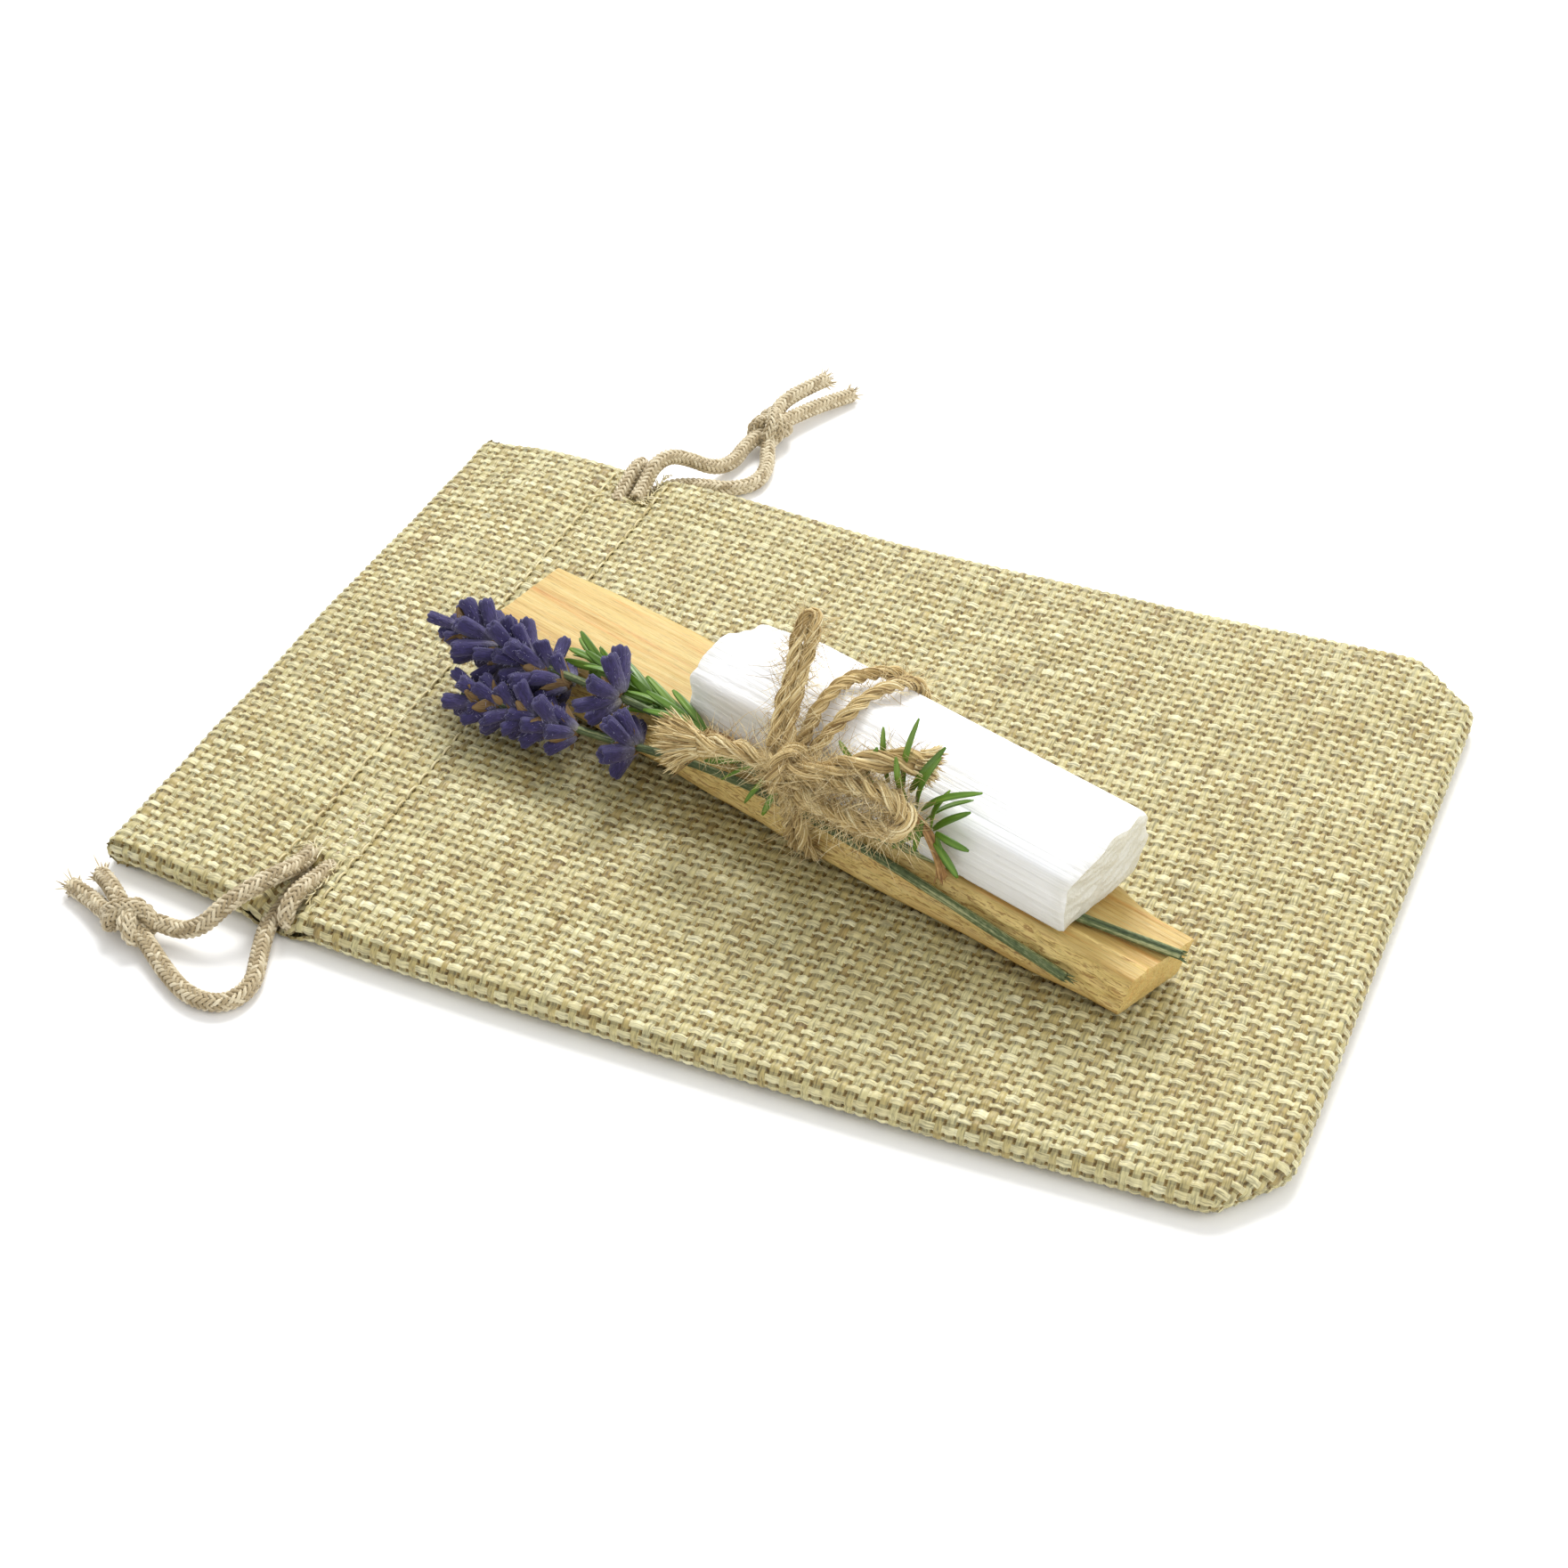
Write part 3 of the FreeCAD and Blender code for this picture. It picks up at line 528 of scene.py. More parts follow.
def panel_grid(span, cross_yarns, rng):
    """Each point's yarn numbers, and its place in the flat cut with the yarns' own bends."""
    u = np.append((np.arange(cross_yarns)[:, None] + np.array(CROSS_STEPS)).ravel(), cross_yarns)
    v = np.append((np.arange(LONG_YARNS)[:, None] + np.array(LONG_STEPS)).ravel(), LONG_YARNS)
    u, v = np.meshgrid(u, v, indexing="ij")
    x = span[0] + u / cross_yarns * (span[1] - span[0])
    near, far = flowing(NEAR_EDGE, x) - SEAM_ALLOWANCE, flowing(FAR_EDGE, x) + SEAM_ALLOWANCE
    y = near + v / LONG_YARNS * (far - near)
    bend_x = YARN_BEND * (wander(rng, cross_yarns + 1, 7, (np.round(u), v)) - 0.5)
    bend_y = YARN_BEND * (wander(rng, LONG_YARNS + 1, 7, (np.round(v), u)) - 0.5)
    hold = smooth(0, 2, v) * smooth(0, 2, LONG_YARNS - v) * smooth(0, 2, u) * smooth(0, 2, cross_yarns - u)
    return u, v, x + bend_x * hold, y + bend_y * hold


def panel_base(flat_x, flat_y, top, slits, rng):
    """The sewn panel without its weave, and which of its points the slits leave."""
    x, y, z = cloth_place(flat_x, flat_y, top, rng)
    kept = np.ones(x.shape, bool)
    for slit in (NEAR_SLIT, FAR_SLIT):
        gap = slit_distance(slit, flat_x, flat_y)
        if slits:
            kept &= gap > -1.2
            z = z - 1.5 * smooth(1.2, -1.2, gap)
        else:
            z = np.where(gap < 3, z + (0.45 - z) * smooth(3, -0.5, gap) * 0.85, z)
    return np.stack([x, y, z], axis=-1), kept


def woven(base, u, v, side, rng):
    """The panel's points, raised and sunk along its yarns."""
    normal = unit(np.cross(np.gradient(base, axis=0), np.gradient(base, axis=1))) * side
    loose = 0.92 + 0.14 * wander(rng, LONG_YARNS + 1, 5, (v, u))
    height, _ = weave_height(u, v, loose)
    tight = 1 - 0.35 * (1 - smooth(0, 2, v) * smooth(0, 2, LONG_YARNS - v))
    points = (base + normal * (height * tight)[..., None]).reshape(-1, 3)
    points[:, 2] = np.maximum(points[:, 2], 0.03)
    return points


def yarn_colours(u, v, cross_yarns, rng):
    """The colour of each face from its yarn's tone, darkened as painted shade where a yarn dives under the
    other and in the gaps between yarns, and 1 where the yarn is long.
    """
    _, over = weave_height(u, v, 1.0)
    column, row = np.floor(u), np.floor(v)
    du, dv = np.abs(u - column - 0.5), np.abs(v - row - 0.5)
    at_end, at_side = np.where(over > 0, du, dv) > 0.3, np.where(over > 0, dv, du) > 0.3
    long_face = (over > 0) ^ at_side
    slub_long = wander(rng, LONG_YARNS + 1, 3.5, (row, u))
    slub_cross = wander(rng, cross_yarns + 1, 3.0, (column, v))
    cell_noise = rng.random((cross_yarns + 2, LONG_YARNS + 2))
    cell_value = 0.22 * cell_noise[column.astype(int), row.astype(int)]
    colours = np.where(long_face[:, None], blended(LONG_YARN_COLOURS, 0.2 + 0.5 * slub_long + cell_value),
                       blended(CROSS_YARN_COLOURS, 0.12 + 0.55 * slub_cross + cell_value))
    streak = 0.9 + 0.2 * rng.random(len(u))
    in_gap = (du > 0.3) & (dv > 0.3)
    # Painted shade: a yarn that dives under the other is darkened, the cross yarn strongly as a painted
    # shadow under the long float, and a float's ends a little.
    diving_painted_shade = np.where(long_face, 0.95, 0.64)
    painted_shade_share = np.where(at_side, diving_painted_shade, np.where(at_end, 0.94, streak))
    # Painted shade: gap faces take the painted gap shade, and all other faces take the diving, float-end or
    # random streak share.
    sunk = np.where(in_gap[:, None], GAP_PAINTED_SHADE, painted_shade_share[:, None])
    return np.concatenate([colours * sunk, np.ones((len(u), 1))], axis=1), long_face.astype(float)


def pouch_panel(name, top, material, slits, seed, span, cross_yarns, nodes):
    """A woven part of one side of the pouch: a cut sheet with its edges rolled to the seams."""
    rng = np.random.default_rng(seed + cross_yarns)
    side = 1 if top > SEAM_Z else -1
    u, v, flat_x, flat_y = panel_grid(span, cross_yarns, rng)
    base, kept = panel_base(flat_x, flat_y, top, slits, np.random.default_rng(seed))
    points = woven(base, u, v, side, rng)
    faces = grid_faces(*u.shape)
    faces = faces[kept.reshape(-1)[faces].all(axis=1)][:, ::side]
    middle_u, middle_v = u.reshape(-1)[faces].mean(axis=1), v.reshape(-1)[faces].mean(axis=1)
    colours, long_face = yarn_colours(middle_u, middle_v, cross_yarns, rng)
    used = np.zeros(len(points), bool)
    used[faces] = True
    renumber = np.cumsum(used) - 1
    grain = np.stack([flat_x, flat_y, base[..., 2]], axis=-1).reshape(-1, 3)[used]
    made = mesh_piece(name, points[used], renumber[faces].tolist(), material, "pouch",
                      {"grain": grain}, {"yarn": colours, "long": long_face})
    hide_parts(*nodes)


def stitch_rows(material):
    """A row of sewing thread across the front at each side of the casing, sunk in the cloth."""
    rng = np.random.default_rng(15)
    t = np.linspace(0, 1, 7)
    stitches = []
    for row in STITCH_ROWS:
        for start in np.arange(-45.0, 44.0, STITCH_STEP):
            x = row + rng.normal(0, 0.06) + 0.08 * (t - 0.5)
            z = 3.62 + 0.32 * np.sin(math.pi * t) - 0.25 * (t == 0) - 0.25 * (t == 1)
            stitches.append(np.stack([x, start + STITCH_LENGTH * t, z], axis=-1))
    shape = Shape()
    shape.threads(stitches, 0.15, 6, 0.3 + 0.4 * rng.random(len(stitches)), lean=(0.1, 0.0, 1.0))
    shape.piece("casing_thread_stitches", material, "seam_thread", "pouch", "casing_stitches")


def slit_threads(material):
    """Frayed yarn ends at the inner end of each slit, and loose threads along both of its sides."""
    rng = np.random.default_rng(16)
    threads = []
    t = np.linspace(0, 1, 8)[:, None]
    drop = np.array([0, 0, 0.5]) * t * t
    for (low, high, inner, outer), turn_x in ((NEAR_SLIT, FAR_CORD_X), (FAR_SLIT, NEAR_CORD_X)):
        way = np.sign(outer)
        for _ in range(46):
            start = np.array([rng.uniform(low - 0.9, high + 0.9), inner - way * rng.uniform(0.2, 1.8), 4.0])
            heading = np.array([rng.normal(0, 0.8), way * rng.uniform(-0.5, 1.2), rng.uniform(0.05, 0.4)])
            reach = rng.uniform(1.0, 2.6)
            thread = start + unit(heading) * reach * t + rng.normal(0, 0.3, 3) * t * t - drop
            if np.abs(thread[:, 0] - turn_x).min() > TURN_ROOM:
                threads.append(thread)
        for side in (low - 0.25, high + 0.25):
            for _ in range(22):
                start = np.array([side, inner + way * rng.uniform(0, 6.5), 3.7])
                heading = np.array([rng.normal(0, 0.5), way * rng.normal(0.6, 0.7), rng.uniform(-0.2, 0.35)])
                straight = unit(heading) * rng.uniform(0.6, 1.7) * t
                threads.append(start + straight + rng.normal(0, 0.2, 3) * t * t)
    threads = np.array(threads)
    threads[..., 2] = np.maximum(threads[..., 2], 2.6)
    shape = Shape()
    shape.threads(threads, 0.085, 4, 0.35 + 0.6 * rng.random(len(threads)), taper=2)
    shape.piece("slit_frayed_threads", material, "seam_thread", "pouch")


def thread_paint():
    paint = Paint("sewing_thread", Roughness=0.5)
    twist_mark = paint.grain((4.0, 5.0, 5.0), 2.0)
    paint.bump(twist_mark, 0.5, 0.08)
    tone = paint.mix(0.4, paint.field("tint"), twist_mark)
    colour = paint.ramp(tone, (0.2, (170, 146, 92)), (0.5, (212, 198, 150)), (0.8, (240, 232, 200)))
    return paint.done(colour)


def pouch():
    material = cloth_paint()
    for side, top, slits, seed in (("back", 0.5, False, 11), ("front", 3.75, True, 12)):
        seams = {"back": ["near_side_seam", "closed_end_seam"], "front": ["far_side_seam"]}[side]
        for part, span, yarns, nodes in (("body", BODY_SPAN, BODY_YARNS, [f"pouch_{side}_panel", *seams]),
                                         ("header", HEADER_SPAN, HEADER_YARNS, [f"{side}_header_hem"])):
            pouch_panel(f"{side}_{part}_cloth", top, material, slits, seed, span, yarns, nodes)
    thread = thread_paint()
    stitch_rows(thread)
    slit_threads(thread)


# ---------------------------------------------------------------- drawstrings
NEAR_FRONT_STRAND = [(-46.85, -38.6, 3.7), (-46.9, -41.6, 4.0), (-47.1, -44.9, 5.6), (-48.5, -48.3, 5.8),
                     (-50.3, -51.5, 5.0), (-52.0, -53.8, 3.0), (-54.6, -54.6, 2.0), (-57.6, -54.6, 2.3)]
NEAR_BACK_STRAND = [(-46.85, -38.6, 1.6), (-46.9, -43.9, 1.65), (-46.6, -49.2, 1.5), (-44.9, -53.7, 1.2),
                    (-42.9, -58.0, 1.2), (-44.1, -62.0, 1.2), (-48.4, -62.5, 1.2), (-52.8, -60.3, 1.2),
                    (-57.5, -57.2, 1.6)]
FAR_FRONT_STRAND = [(-44.15, 40.6, 3.7), (-44.2, 43.4, 4.2), (-44.2, 46.3, 5.7), (-43.4, 49.6, 5.7),
                    (-41.3, 51.9, 4.2), (-38.9, 53.8, 2.2), (-37.3, 57.4, 1.3), (-37.2, 61.9, 1.9)]
FAR_BACK_STRAND = [(-44.15, 40.6, 1.6), (-44.2, 44.6, 1.65), (-42.8, 48.5, 1.5), (-39.4, 50.6, 1.2),
                   (-35.2, 51.3, 1.2), (-32.3, 54.2, 1.2), (-32.5, 58.5, 1.2), (-34.2, 62.2, 1.6)]
NEAR_LONG_TAIL = [(-64.2, -55.4, 2.0), (-66.8, -53.9, 1.6), (-70.9, -52.6, 1.2)]
NEAR_SHORT_TAIL = [(-64.1, -53.2, 3.0), (-66.2, -51.6, 2.7), (-68.4, -50.2, 1.9)]
FAR_LONG_TAIL = [(-34.0, 70.2, 2.1), (-31.6, 75.4, 1.9), (-28.9, 80.6, 1.2)]
FAR_SHORT_TAIL = [(-36.2, 70.4, 3.5), (-34.1, 75.4, 4.0), (-32.4, 79.0, 3.8)]
NEAR_KNOT = (-60.8, -55.5, 2.4)
FAR_KNOT = (-35.3, 66.3, 2.6)
CORD_RADIUS = 1.03
BRAID_PITCH = 5.6
BRAID_CARRIERS = 8
EDGE_TURN = [(-6.5, 3.0), (-4.4, 3.5), (-0.3, 4.9), (2.2, 4.2), (2.6, 2.3), (1.2, 1.0), (-4.0, 1.25)]


def cord_paint():
    paint = Paint("drawstring_braid", Specular_IOR_Level=0.6, Sheen_Weight=0.15)
    fibre = paint.grain((0.8, 9.0, 9.0), 2.0)
    tone = paint.mix(0.5, paint.field("tint"), fibre)
    colour = paint.ramp(tone, (0.2, (96, 76, 46)), (0.45, (176, 156, 116)), (0.75, (242, 230, 198)))
    paint.bump(fibre, 0.6, 0.1)
    return paint.done(colour, paint.ramp(fibre, (0.3, 0.5), (0.75, 0.34)))


def braid(shape, line, radius, rng, flat=1.0):
    """A round braid along a line: a core, and as many carriers one way as the other."""
    first, second = sides_along(line)
    along = distance_along(line)
    # The core takes tint 0, the darkest of the cord's colours, so it shows as painted shade in the gaps
    # between the carriers.
    shape.tubes(line[None], first[None] * flat, second[None], radius * 0.7, 8, 0.0)
    centres, radial, tangential, tints = [], [], [], []
    for way in (1, -1):
        for carrier in range(BRAID_CARRIERS):
            angle = way * FULL_TURN * along / BRAID_PITCH + carrier * FULL_TURN / BRAID_CARRIERS
            lift = way * 0.12 * np.cos(BRAID_CARRIERS / 2 * angle)
            out = first * (np.cos(angle) * flat)[:, None] + second * np.sin(angle)[:, None]
            centres.append(line + out * (radius * 0.8 + lift * radius)[:, None])
            radial.append(unit(out) * 0.18 * radius)
            tangent = unit(np.gradient(centres[-1], axis=0))
            tangential.append(unit(np.cross(tangent, out)) * 0.215 * radius)
            tints.append(0.3 + 0.55 * rng.random())
    shape.tubes(np.array(centres), np.array(radial), np.array(tangential), 1.0, 6, tints)


def cut_end(shape, line, radius, rng, count=34, spread=0.7, reach=2.0):
    """Loose fibres that fan out of the cut end of a cord."""
    tangent = unit(line[-1] - line[-6])
    first, second = sides_along(line)
    t = np.linspace(0, 1, 5)[:, None]
    strands = []
    for _ in range(count):
        angle, far = rng.uniform(0, FULL_TURN), math.sqrt(rng.random())
        out = spoke(first[-1], second[-1], angle)
        start = line[-4] + out * radius * 0.8 * far
        length = reach * rng.uniform(0.5, 1.0)
        curl = out * spread * far * length * t ** 1.6 + rng.normal(0, 0.15, 3) * t * t
        strands.append(start + tangent * length * t + curl)
    shape.threads(strands, 0.1, 4, rng.random(count), taper=2)


def cord_piece(shape, name, material, body, *nodes):
    """A piece of drawstring, kept just above the floor."""
    for block in shape.points:
        block[:, 2] = np.maximum(block[:, 2], 0.02)
    return shape.piece(name, material, "drawstring", body, *nodes)


def knot_turns(shape, centre, heading, rng):
    """An overhand knot in two cords: two turns round them and one that lies across."""
    place = np.array(centre)
    ahead = np.array([math.cos(heading), math.sin(heading), 0.0])
    aside = np.array([-ahead[1], ahead[0], 0.0])
    up = np.array([0.0, 0.0, 1.0])
    t = np.linspace(0, 1, 90)
    for start, shift, lean, wide, high in ((0.3, -1.5, 0.9, 1.75, 1.25), (2.9, 1.0, -0.7, 1.85, 1.3)):
        angle = start + FULL_TURN * 1.15 * t
        line = (place + ahead * (shift + lean * np.sin(angle * 0.9))[:, None]
                + aside * (wide * np.cos(angle))[:, None] + up * (high * np.sin(angle))[:, None])
        braid(shape, resampled(line, 0.25), CORD_RADIUS * 0.9, rng)
    across = [place + ahead * a + aside * b + up * c for a, b, c in
              ((-3.0, -0.8, -0.4), (-2.0, -1.3, 1.1), (0.0, -0.2, 2.0), (1.9, 1.2, 1.2), (2.9, 1.0, -0.4))]
    braid(shape, route_line(across), CORD_RADIUS * 0.85, rng)


def drawstring(name, body, front, back, knot, heading, material, seed):
    """The knot and both free strands; front and back are each a strand and the tail it becomes."""
    rng = np.random.default_rng(seed)
    shape = Shape()
    knot_turns(shape, knot, math.radians(heading), rng)
    knotted = cord_piece(shape, name + "_knot_turns", material, body, name + "_knot")
    for level, own_tail, (strand, tail) in (("front", "long", front), ("back", "short", back)):
        line = route_line(strand + [knot] + tail)
        shape, loose = Shape(), Shape()
        braid(shape, line, CORD_RADIUS, rng)
        made = cord_piece(shape, f"{name}_{level}_braid", material, body,
                          f"{name}_{level}_strand", f"{name}_{own_tail}_tail")
        cut_end(loose, line, CORD_RADIUS, rng)
        ends = cord_piece(loose, f"{name}_{level}_cut_end", material, body)


def casing_runs(name, body, x, outer, inner, material, seed):
    """The flattened cord inside the casing, and where it turns round the other side edge."""
    rng = np.random.default_rng(seed)
    toward = 1 if outer > 0 else -1
    for level, z in (("front", 2.9), ("back", 1.3)):
        shape = Shape()
        line = resampled([(x, inner, z), (x, outer - toward * 3.0, z)], 0.5)
        braid(shape, line, 1.15, rng, flat=0.4)
        cord_piece(shape, f"{name}_{level}_casing_braid", material, body, f"{name}_{level}_casing_run")
    shape = Shape()
    braid(shape, route_line([(x, outer + toward * out, z) for out, z in EDGE_TURN]), 1.0, rng)
    cord_piece(shape, f"{name}_edge_braid", material, body, f"{name}_edge_turn")


def drawstrings():
    material = cord_paint()
    drawstring("near_cord", "near_drawstring", (NEAR_FRONT_STRAND, NEAR_LONG_TAIL),
               (NEAR_BACK_STRAND, NEAR_SHORT_TAIL), NEAR_KNOT, 165, material, 21)
    drawstring("far_cord", "far_drawstring", (FAR_FRONT_STRAND, FAR_LONG_TAIL),
               (FAR_BACK_STRAND, FAR_SHORT_TAIL), FAR_KNOT, 80, material, 22)
    casing_runs("near_cord", "near_drawstring", NEAR_CORD_X, 46.3, -38.0, material, 23)
    casing_runs("far_cord", "far_drawstring", FAR_CORD_X, -46.3, 40.0, material, 24)


# ---------------------------------------------------------------- palo santo stick
STICK_NEAR_TOP = [(-50, -6.0), (-47, -6.4), (-30, -8.5), (-15, -9.9), (-5, -10.0), (8, -9.1), (17, -7.7),
                  (39, -7.5), (50, -8.0)]
STICK_NEAR_BOTTOM = [(-49, -9.6), (-24, -9.7), (17, -9.7), (32, -9.0), (50, -8.1)]
STICK_FAR = [(-49, 5.8), (-27.4, 7.0), (0, 5.6), (36, 3.7), (40.4, 3.2), (42, 2.6), (43.7, 2.3), (50, 1.9)]
STICK_LOW, STICK_HIGH = 5.05, 11.05


def wood_paint():
    paint = Paint("palo_santo", Subsurface_Weight=0.06, Subsurface_Radius=(0.0012, 0.0006, 0.0002),
                  Subsurface_Scale=1.0)
    fine = paint.grain((0.12, 4.5, 4.5))
    pore = paint.grain((0.5, 9.0, 9.0), 2.0)
    tone = paint.mix(0.32, paint.grain((0.018, 0.5, 0.5), 3.0, 0.6), fine)
    colour = paint.ramp(tone, (0.28, (150, 104, 44)), (0.4, (184, 146, 76)), (0.5, (200, 170, 100)),
                        (0.72, (212, 190, 124)))
    streak = paint.ramp(paint.grain((0.03, 1.1, 0.4), 2.0, 0.8), (0.57, 0.0), (0.66, 1.0))
    colour = paint.mix(paint.times(streak, 0.45), colour, shade(206, 142, 66))
    # Lighter where tint is high: painted light on the near side; the same lighter colour also runs along the
    # ridge on top and over the ends.
    colour = paint.mix(paint.times(paint.field("tint"), 0.85), colour, shade(248, 222, 146))
    colour = paint.mix(1.0, colour, paint.ramp(pore, (0.3, 0.75), (0.46, 1.0)), "MULTIPLY")
    dash = paint.ramp(paint.grain((0.5, 5.0, 5.0), 3.0, 0.6), (0.52, 0.0), (0.6, 0.85))
    colour = paint.mix(paint.times(dash, paint.field("tint")), colour, shade(142, 88, 30))
    paint.bump(fine, 0.35, 0.2)
    paint.bump(pore, 0.3, 0.12)
    return paint.done(colour, paint.ramp(fine, (0.3, 0.62), (0.8, 0.42)))


def cap_rings(rim, middle, count):
    """Rings that shrink from a rim to its middle, and how far in each of them is."""
    shrink = np.linspace(1, 0, count)[:, None, None]
    return middle + (rim - middle) * shrink, smooth(1, 0.9, shrink[..., 0])


def add_cap(shape, cap, side, squeeze, tint):
    faces = grid_faces(*cap.shape[:2], True)[:, ::side]
    shape.add(cap, faces, cap * np.array([squeeze, 1.0, 1.0]), tint)


def stick():
    """A sawn stick: its long sides follow the grain and its ends are cut across."""
    rng = np.random.default_rng(31)
    t = np.linspace(0, 1, 260)
    ring = np.concatenate([edge_points((0, 0), (0, 1), 16), edge_points((0, 1), (1, 1), 34),
                           edge_points((1, 1), (1, 0), 14), edge_points((1, 0), (0, 0), 18)])
    across, up = ring[:, 0][None], ring[:, 1][None]
    left = -48.6 - 1.0 * across + 0.3 * up
    right = 47.6 + 1.4 * up + 1.2 * across
    s = left + (right - left) * t[:, None]
    near = flowing(STICK_NEAR_BOTTOM, s) * (1 - up) + flowing(STICK_NEAR_TOP, s) * up
    far = flowing(STICK_FAR, s) - 0.3 * (1 - up)
    v = near + (far - near) * across
    z = STICK_LOW + (STICK_HIGH - STICK_LOW) * up + 0 * s
    middle_v, middle_z = (near + far) / 2, (STICK_LOW + STICK_HIGH) / 2
    edge = np.minimum(across, 1 - across) + np.minimum(up, 1 - up)
    soft = 0.18 * smooth(0.08, 0.0, edge)
    on_near = smooth(0.02, 0.0, across) * smooth(0, 0.2, up) * smooth(1, 0.8, up)
    rough = 0.28 * on_near * ripple(rng, s * 0.3, z * 1.6 + 40, 1.6, 9) + 0.1 * ripple(rng, s, v + z, 11)
    lines = 0.05 * ripple(rng, s * 0.02, v * 1.0 + z * 2, 0.9, 7)
    ridge = 0.3 * np.exp(-((v + 5.8 - 0.02 * (s - 39)) / 0.35) ** 2) * smooth(16, 24, s) * (up > 0.99)
    z = z + (lines + ridge) * (up > 0.9) - soft * np.sign(up - 0.5) * 0.8
    v = v + rough * (across < 0.02) + soft * np.sign(0.5 - across) * 0.8
    body = np.stack([s, v, z], axis=-1)
    # The tint marks the near side for painted light and for its grain dashes, and a lighter line along the
    # ridge on top.
    tint = 0.75 * on_near + 0.9 * smooth(0.3, 0.0, np.abs(v + 5.8)) * (up > 0.9) * smooth(10, 24, s)
    shape = Shape()
    shape.add(body, grid_faces(*s.shape, True), body, tint + 0 * s)
    for index, side in ((0, -1), (-1, 1)):
        rim = body[index]
        cap, inner = cap_rings(rim, np.array([rim[:, 0].mean(), middle_v[index].mean(), middle_z]), 9)
        saw = 0.07 * ripple(rng, cap[..., 1] * 3, cap[..., 2] * 0.6, 2.0, 6) * inner
        cap[..., 0] += side * (saw + 0.12 * inner)
        add_cap(shape, cap, side, 9.0, 0.35)
    shape.piece("palo_santo_grain", wood_paint(), "palo_santo_wood", "bundle", "palo_santo_stick")


# ---------------------------------------------------------------- selenite crystal
CRYSTAL_SECTION = [(-7.9, 11.95), (5.1, 12.2), (7.6, 15.75), (6.3, 20.2), (-2.0, 22.8), (-7.7, 19.7)]


def selenite_paint():
    paint = Paint("selenite", Subsurface_Weight=0.35, Subsurface_Radius=(0.004, 0.004, 0.0042),
                  Subsurface_Scale=1.0, Specular_IOR_Level=0.6)
    fibre = paint.grain((0.03, 2.6, 2.6), 4.0)
    flaw = paint.grain((0.9, 2.4, 2.4), 4.0)
    tone = paint.mix(0.35, fibre, paint.grain((0.06, 0.3, 0.3), 2.0))
    colour = paint.ramp(tone, (0.3, (226, 228, 230)), (0.44, (246, 247, 248)), (0.6, (254, 254, 254)))
    colour = paint.mix(paint.field("tint"), colour, shade(208, 205, 188))
    colour = paint.mix(1.0, colour, paint.ramp(flaw, (0.24, 0.82), (0.31, 1.0)), "MULTIPLY")
    paint.bump(fibre, 0.55, 0.35)
    paint.bump(flaw, 0.25, 0.15)
    return paint.done(colour, paint.ramp(fibre, (0.3, 0.42), (0.7, 0.24)))


def crystal_ring():
    """Points round the crystal's section, with its corners slightly rounded."""
    ring = []
    corners = np.array(CRYSTAL_SECTION)
    for corner, following in zip(corners, np.roll(corners, -1, axis=0)):
        ring.append(edge_points(corner, following, max(6, int(np.linalg.norm(following - corner) / 0.3))))
    ring = np.concatenate(ring)
    padded = np.concatenate([ring[-4:], ring, ring[:4]])
    kernel = np.array([1, 2, 3, 2, 1]) / 9
    return np.stack([np.convolve(padded[:, k], kernel, "valid")[2:-2] for k in range(2)], axis=1)


def crystal():
    """A fibrous six-sided rod, with fine ridges along it and chipped ends."""
    rng = np.random.default_rng(41)
    ring = crystal_ring()
    middle = ring.mean(axis=0)
    out = unit(ring - middle)
    around = np.arange(len(ring))[None]
    v0, z0 = ring[:, 0][None], ring[:, 1][None]
    left = -15.3 + 0.7 * smooth(-7, 6, v0) + 0.2 * smooth(13, 22, z0)
    right = 39.5 + 1.5 * smooth(17, 22, z0) * smooth(7, -2, v0) + 0.3 * smooth(-7, 7, v0)
    right = right + 0.12 * ripple(rng, v0, z0, 3.5)
    left = left + 0.14 * ripple(rng, v0, z0, 3.5)
    s = left + (right - left) * np.linspace(0, 1, 230)[:, None]
    ridges = 0.05 * ripple(rng, around * 1.0 + s * 0.03, s * 0.015, 2.4, 8)
    ridges = ridges + 0.07 * ripple(rng, around + s * 0.05, s * 0.02, 9, 6)
    near_end = smooth(3.5, 0, np.minimum(s - left, right - s))
    chips = -0.08 * near_end * np.clip(ripple(rng, around * 0.6, s * 2.0, 5.0, 8), 0, 2)
    pits = -0.1 * smooth(1.5, 2.3, ripple(rng, around * 1.0, s * 1.5, 5.5, 9))
    lift = ridges + chips + pits - 0.18 * smooth(0.5, 0, np.minimum(s - left, right - s))
    waist = 1 - 0.1 * smooth(9, 0, s - left)
    low = CRYSTAL_SECTION[0][1]
    body = np.stack([s, middle[0] + (v0 + out[:, 0] * lift - middle[0]) * waist,
                     low + (z0 + out[:, 1] * lift - low) * waist], axis=-1)
    shape = Shape()
    shape.add(body, grid_faces(*s.shape, True), body, 0.3 * near_end)
    for index, side in ((0, -1), (-1, 1)):
        rim = body[index]
        cap, inner = cap_rings(rim, np.array([rim[:, 0].mean(), middle[0], middle[1]]), 26)
        v, z = cap[..., 1], cap[..., 2]
        tilted = np.minimum(0.22 * (v + 7) - 0.12 * (z - 12), 1.3 - 0.16 * (v + 2))
        broken = 0.1 * ripple(rng, v, z * 2.2, 2.6, 7)
        flakes = 0.06 * np.floor(1.5 + ripple(rng, v * 0.8, z, 5.0, 6))
        cap[..., 0] += side * inner * (0.35 * tilted + broken + flakes - 0.1)
        add_cap(shape, cap, side, 5.0, 0.85)
    shape.piece("selenite_fibres", selenite_paint(), "selenite", "bundle", "selenite_crystal")


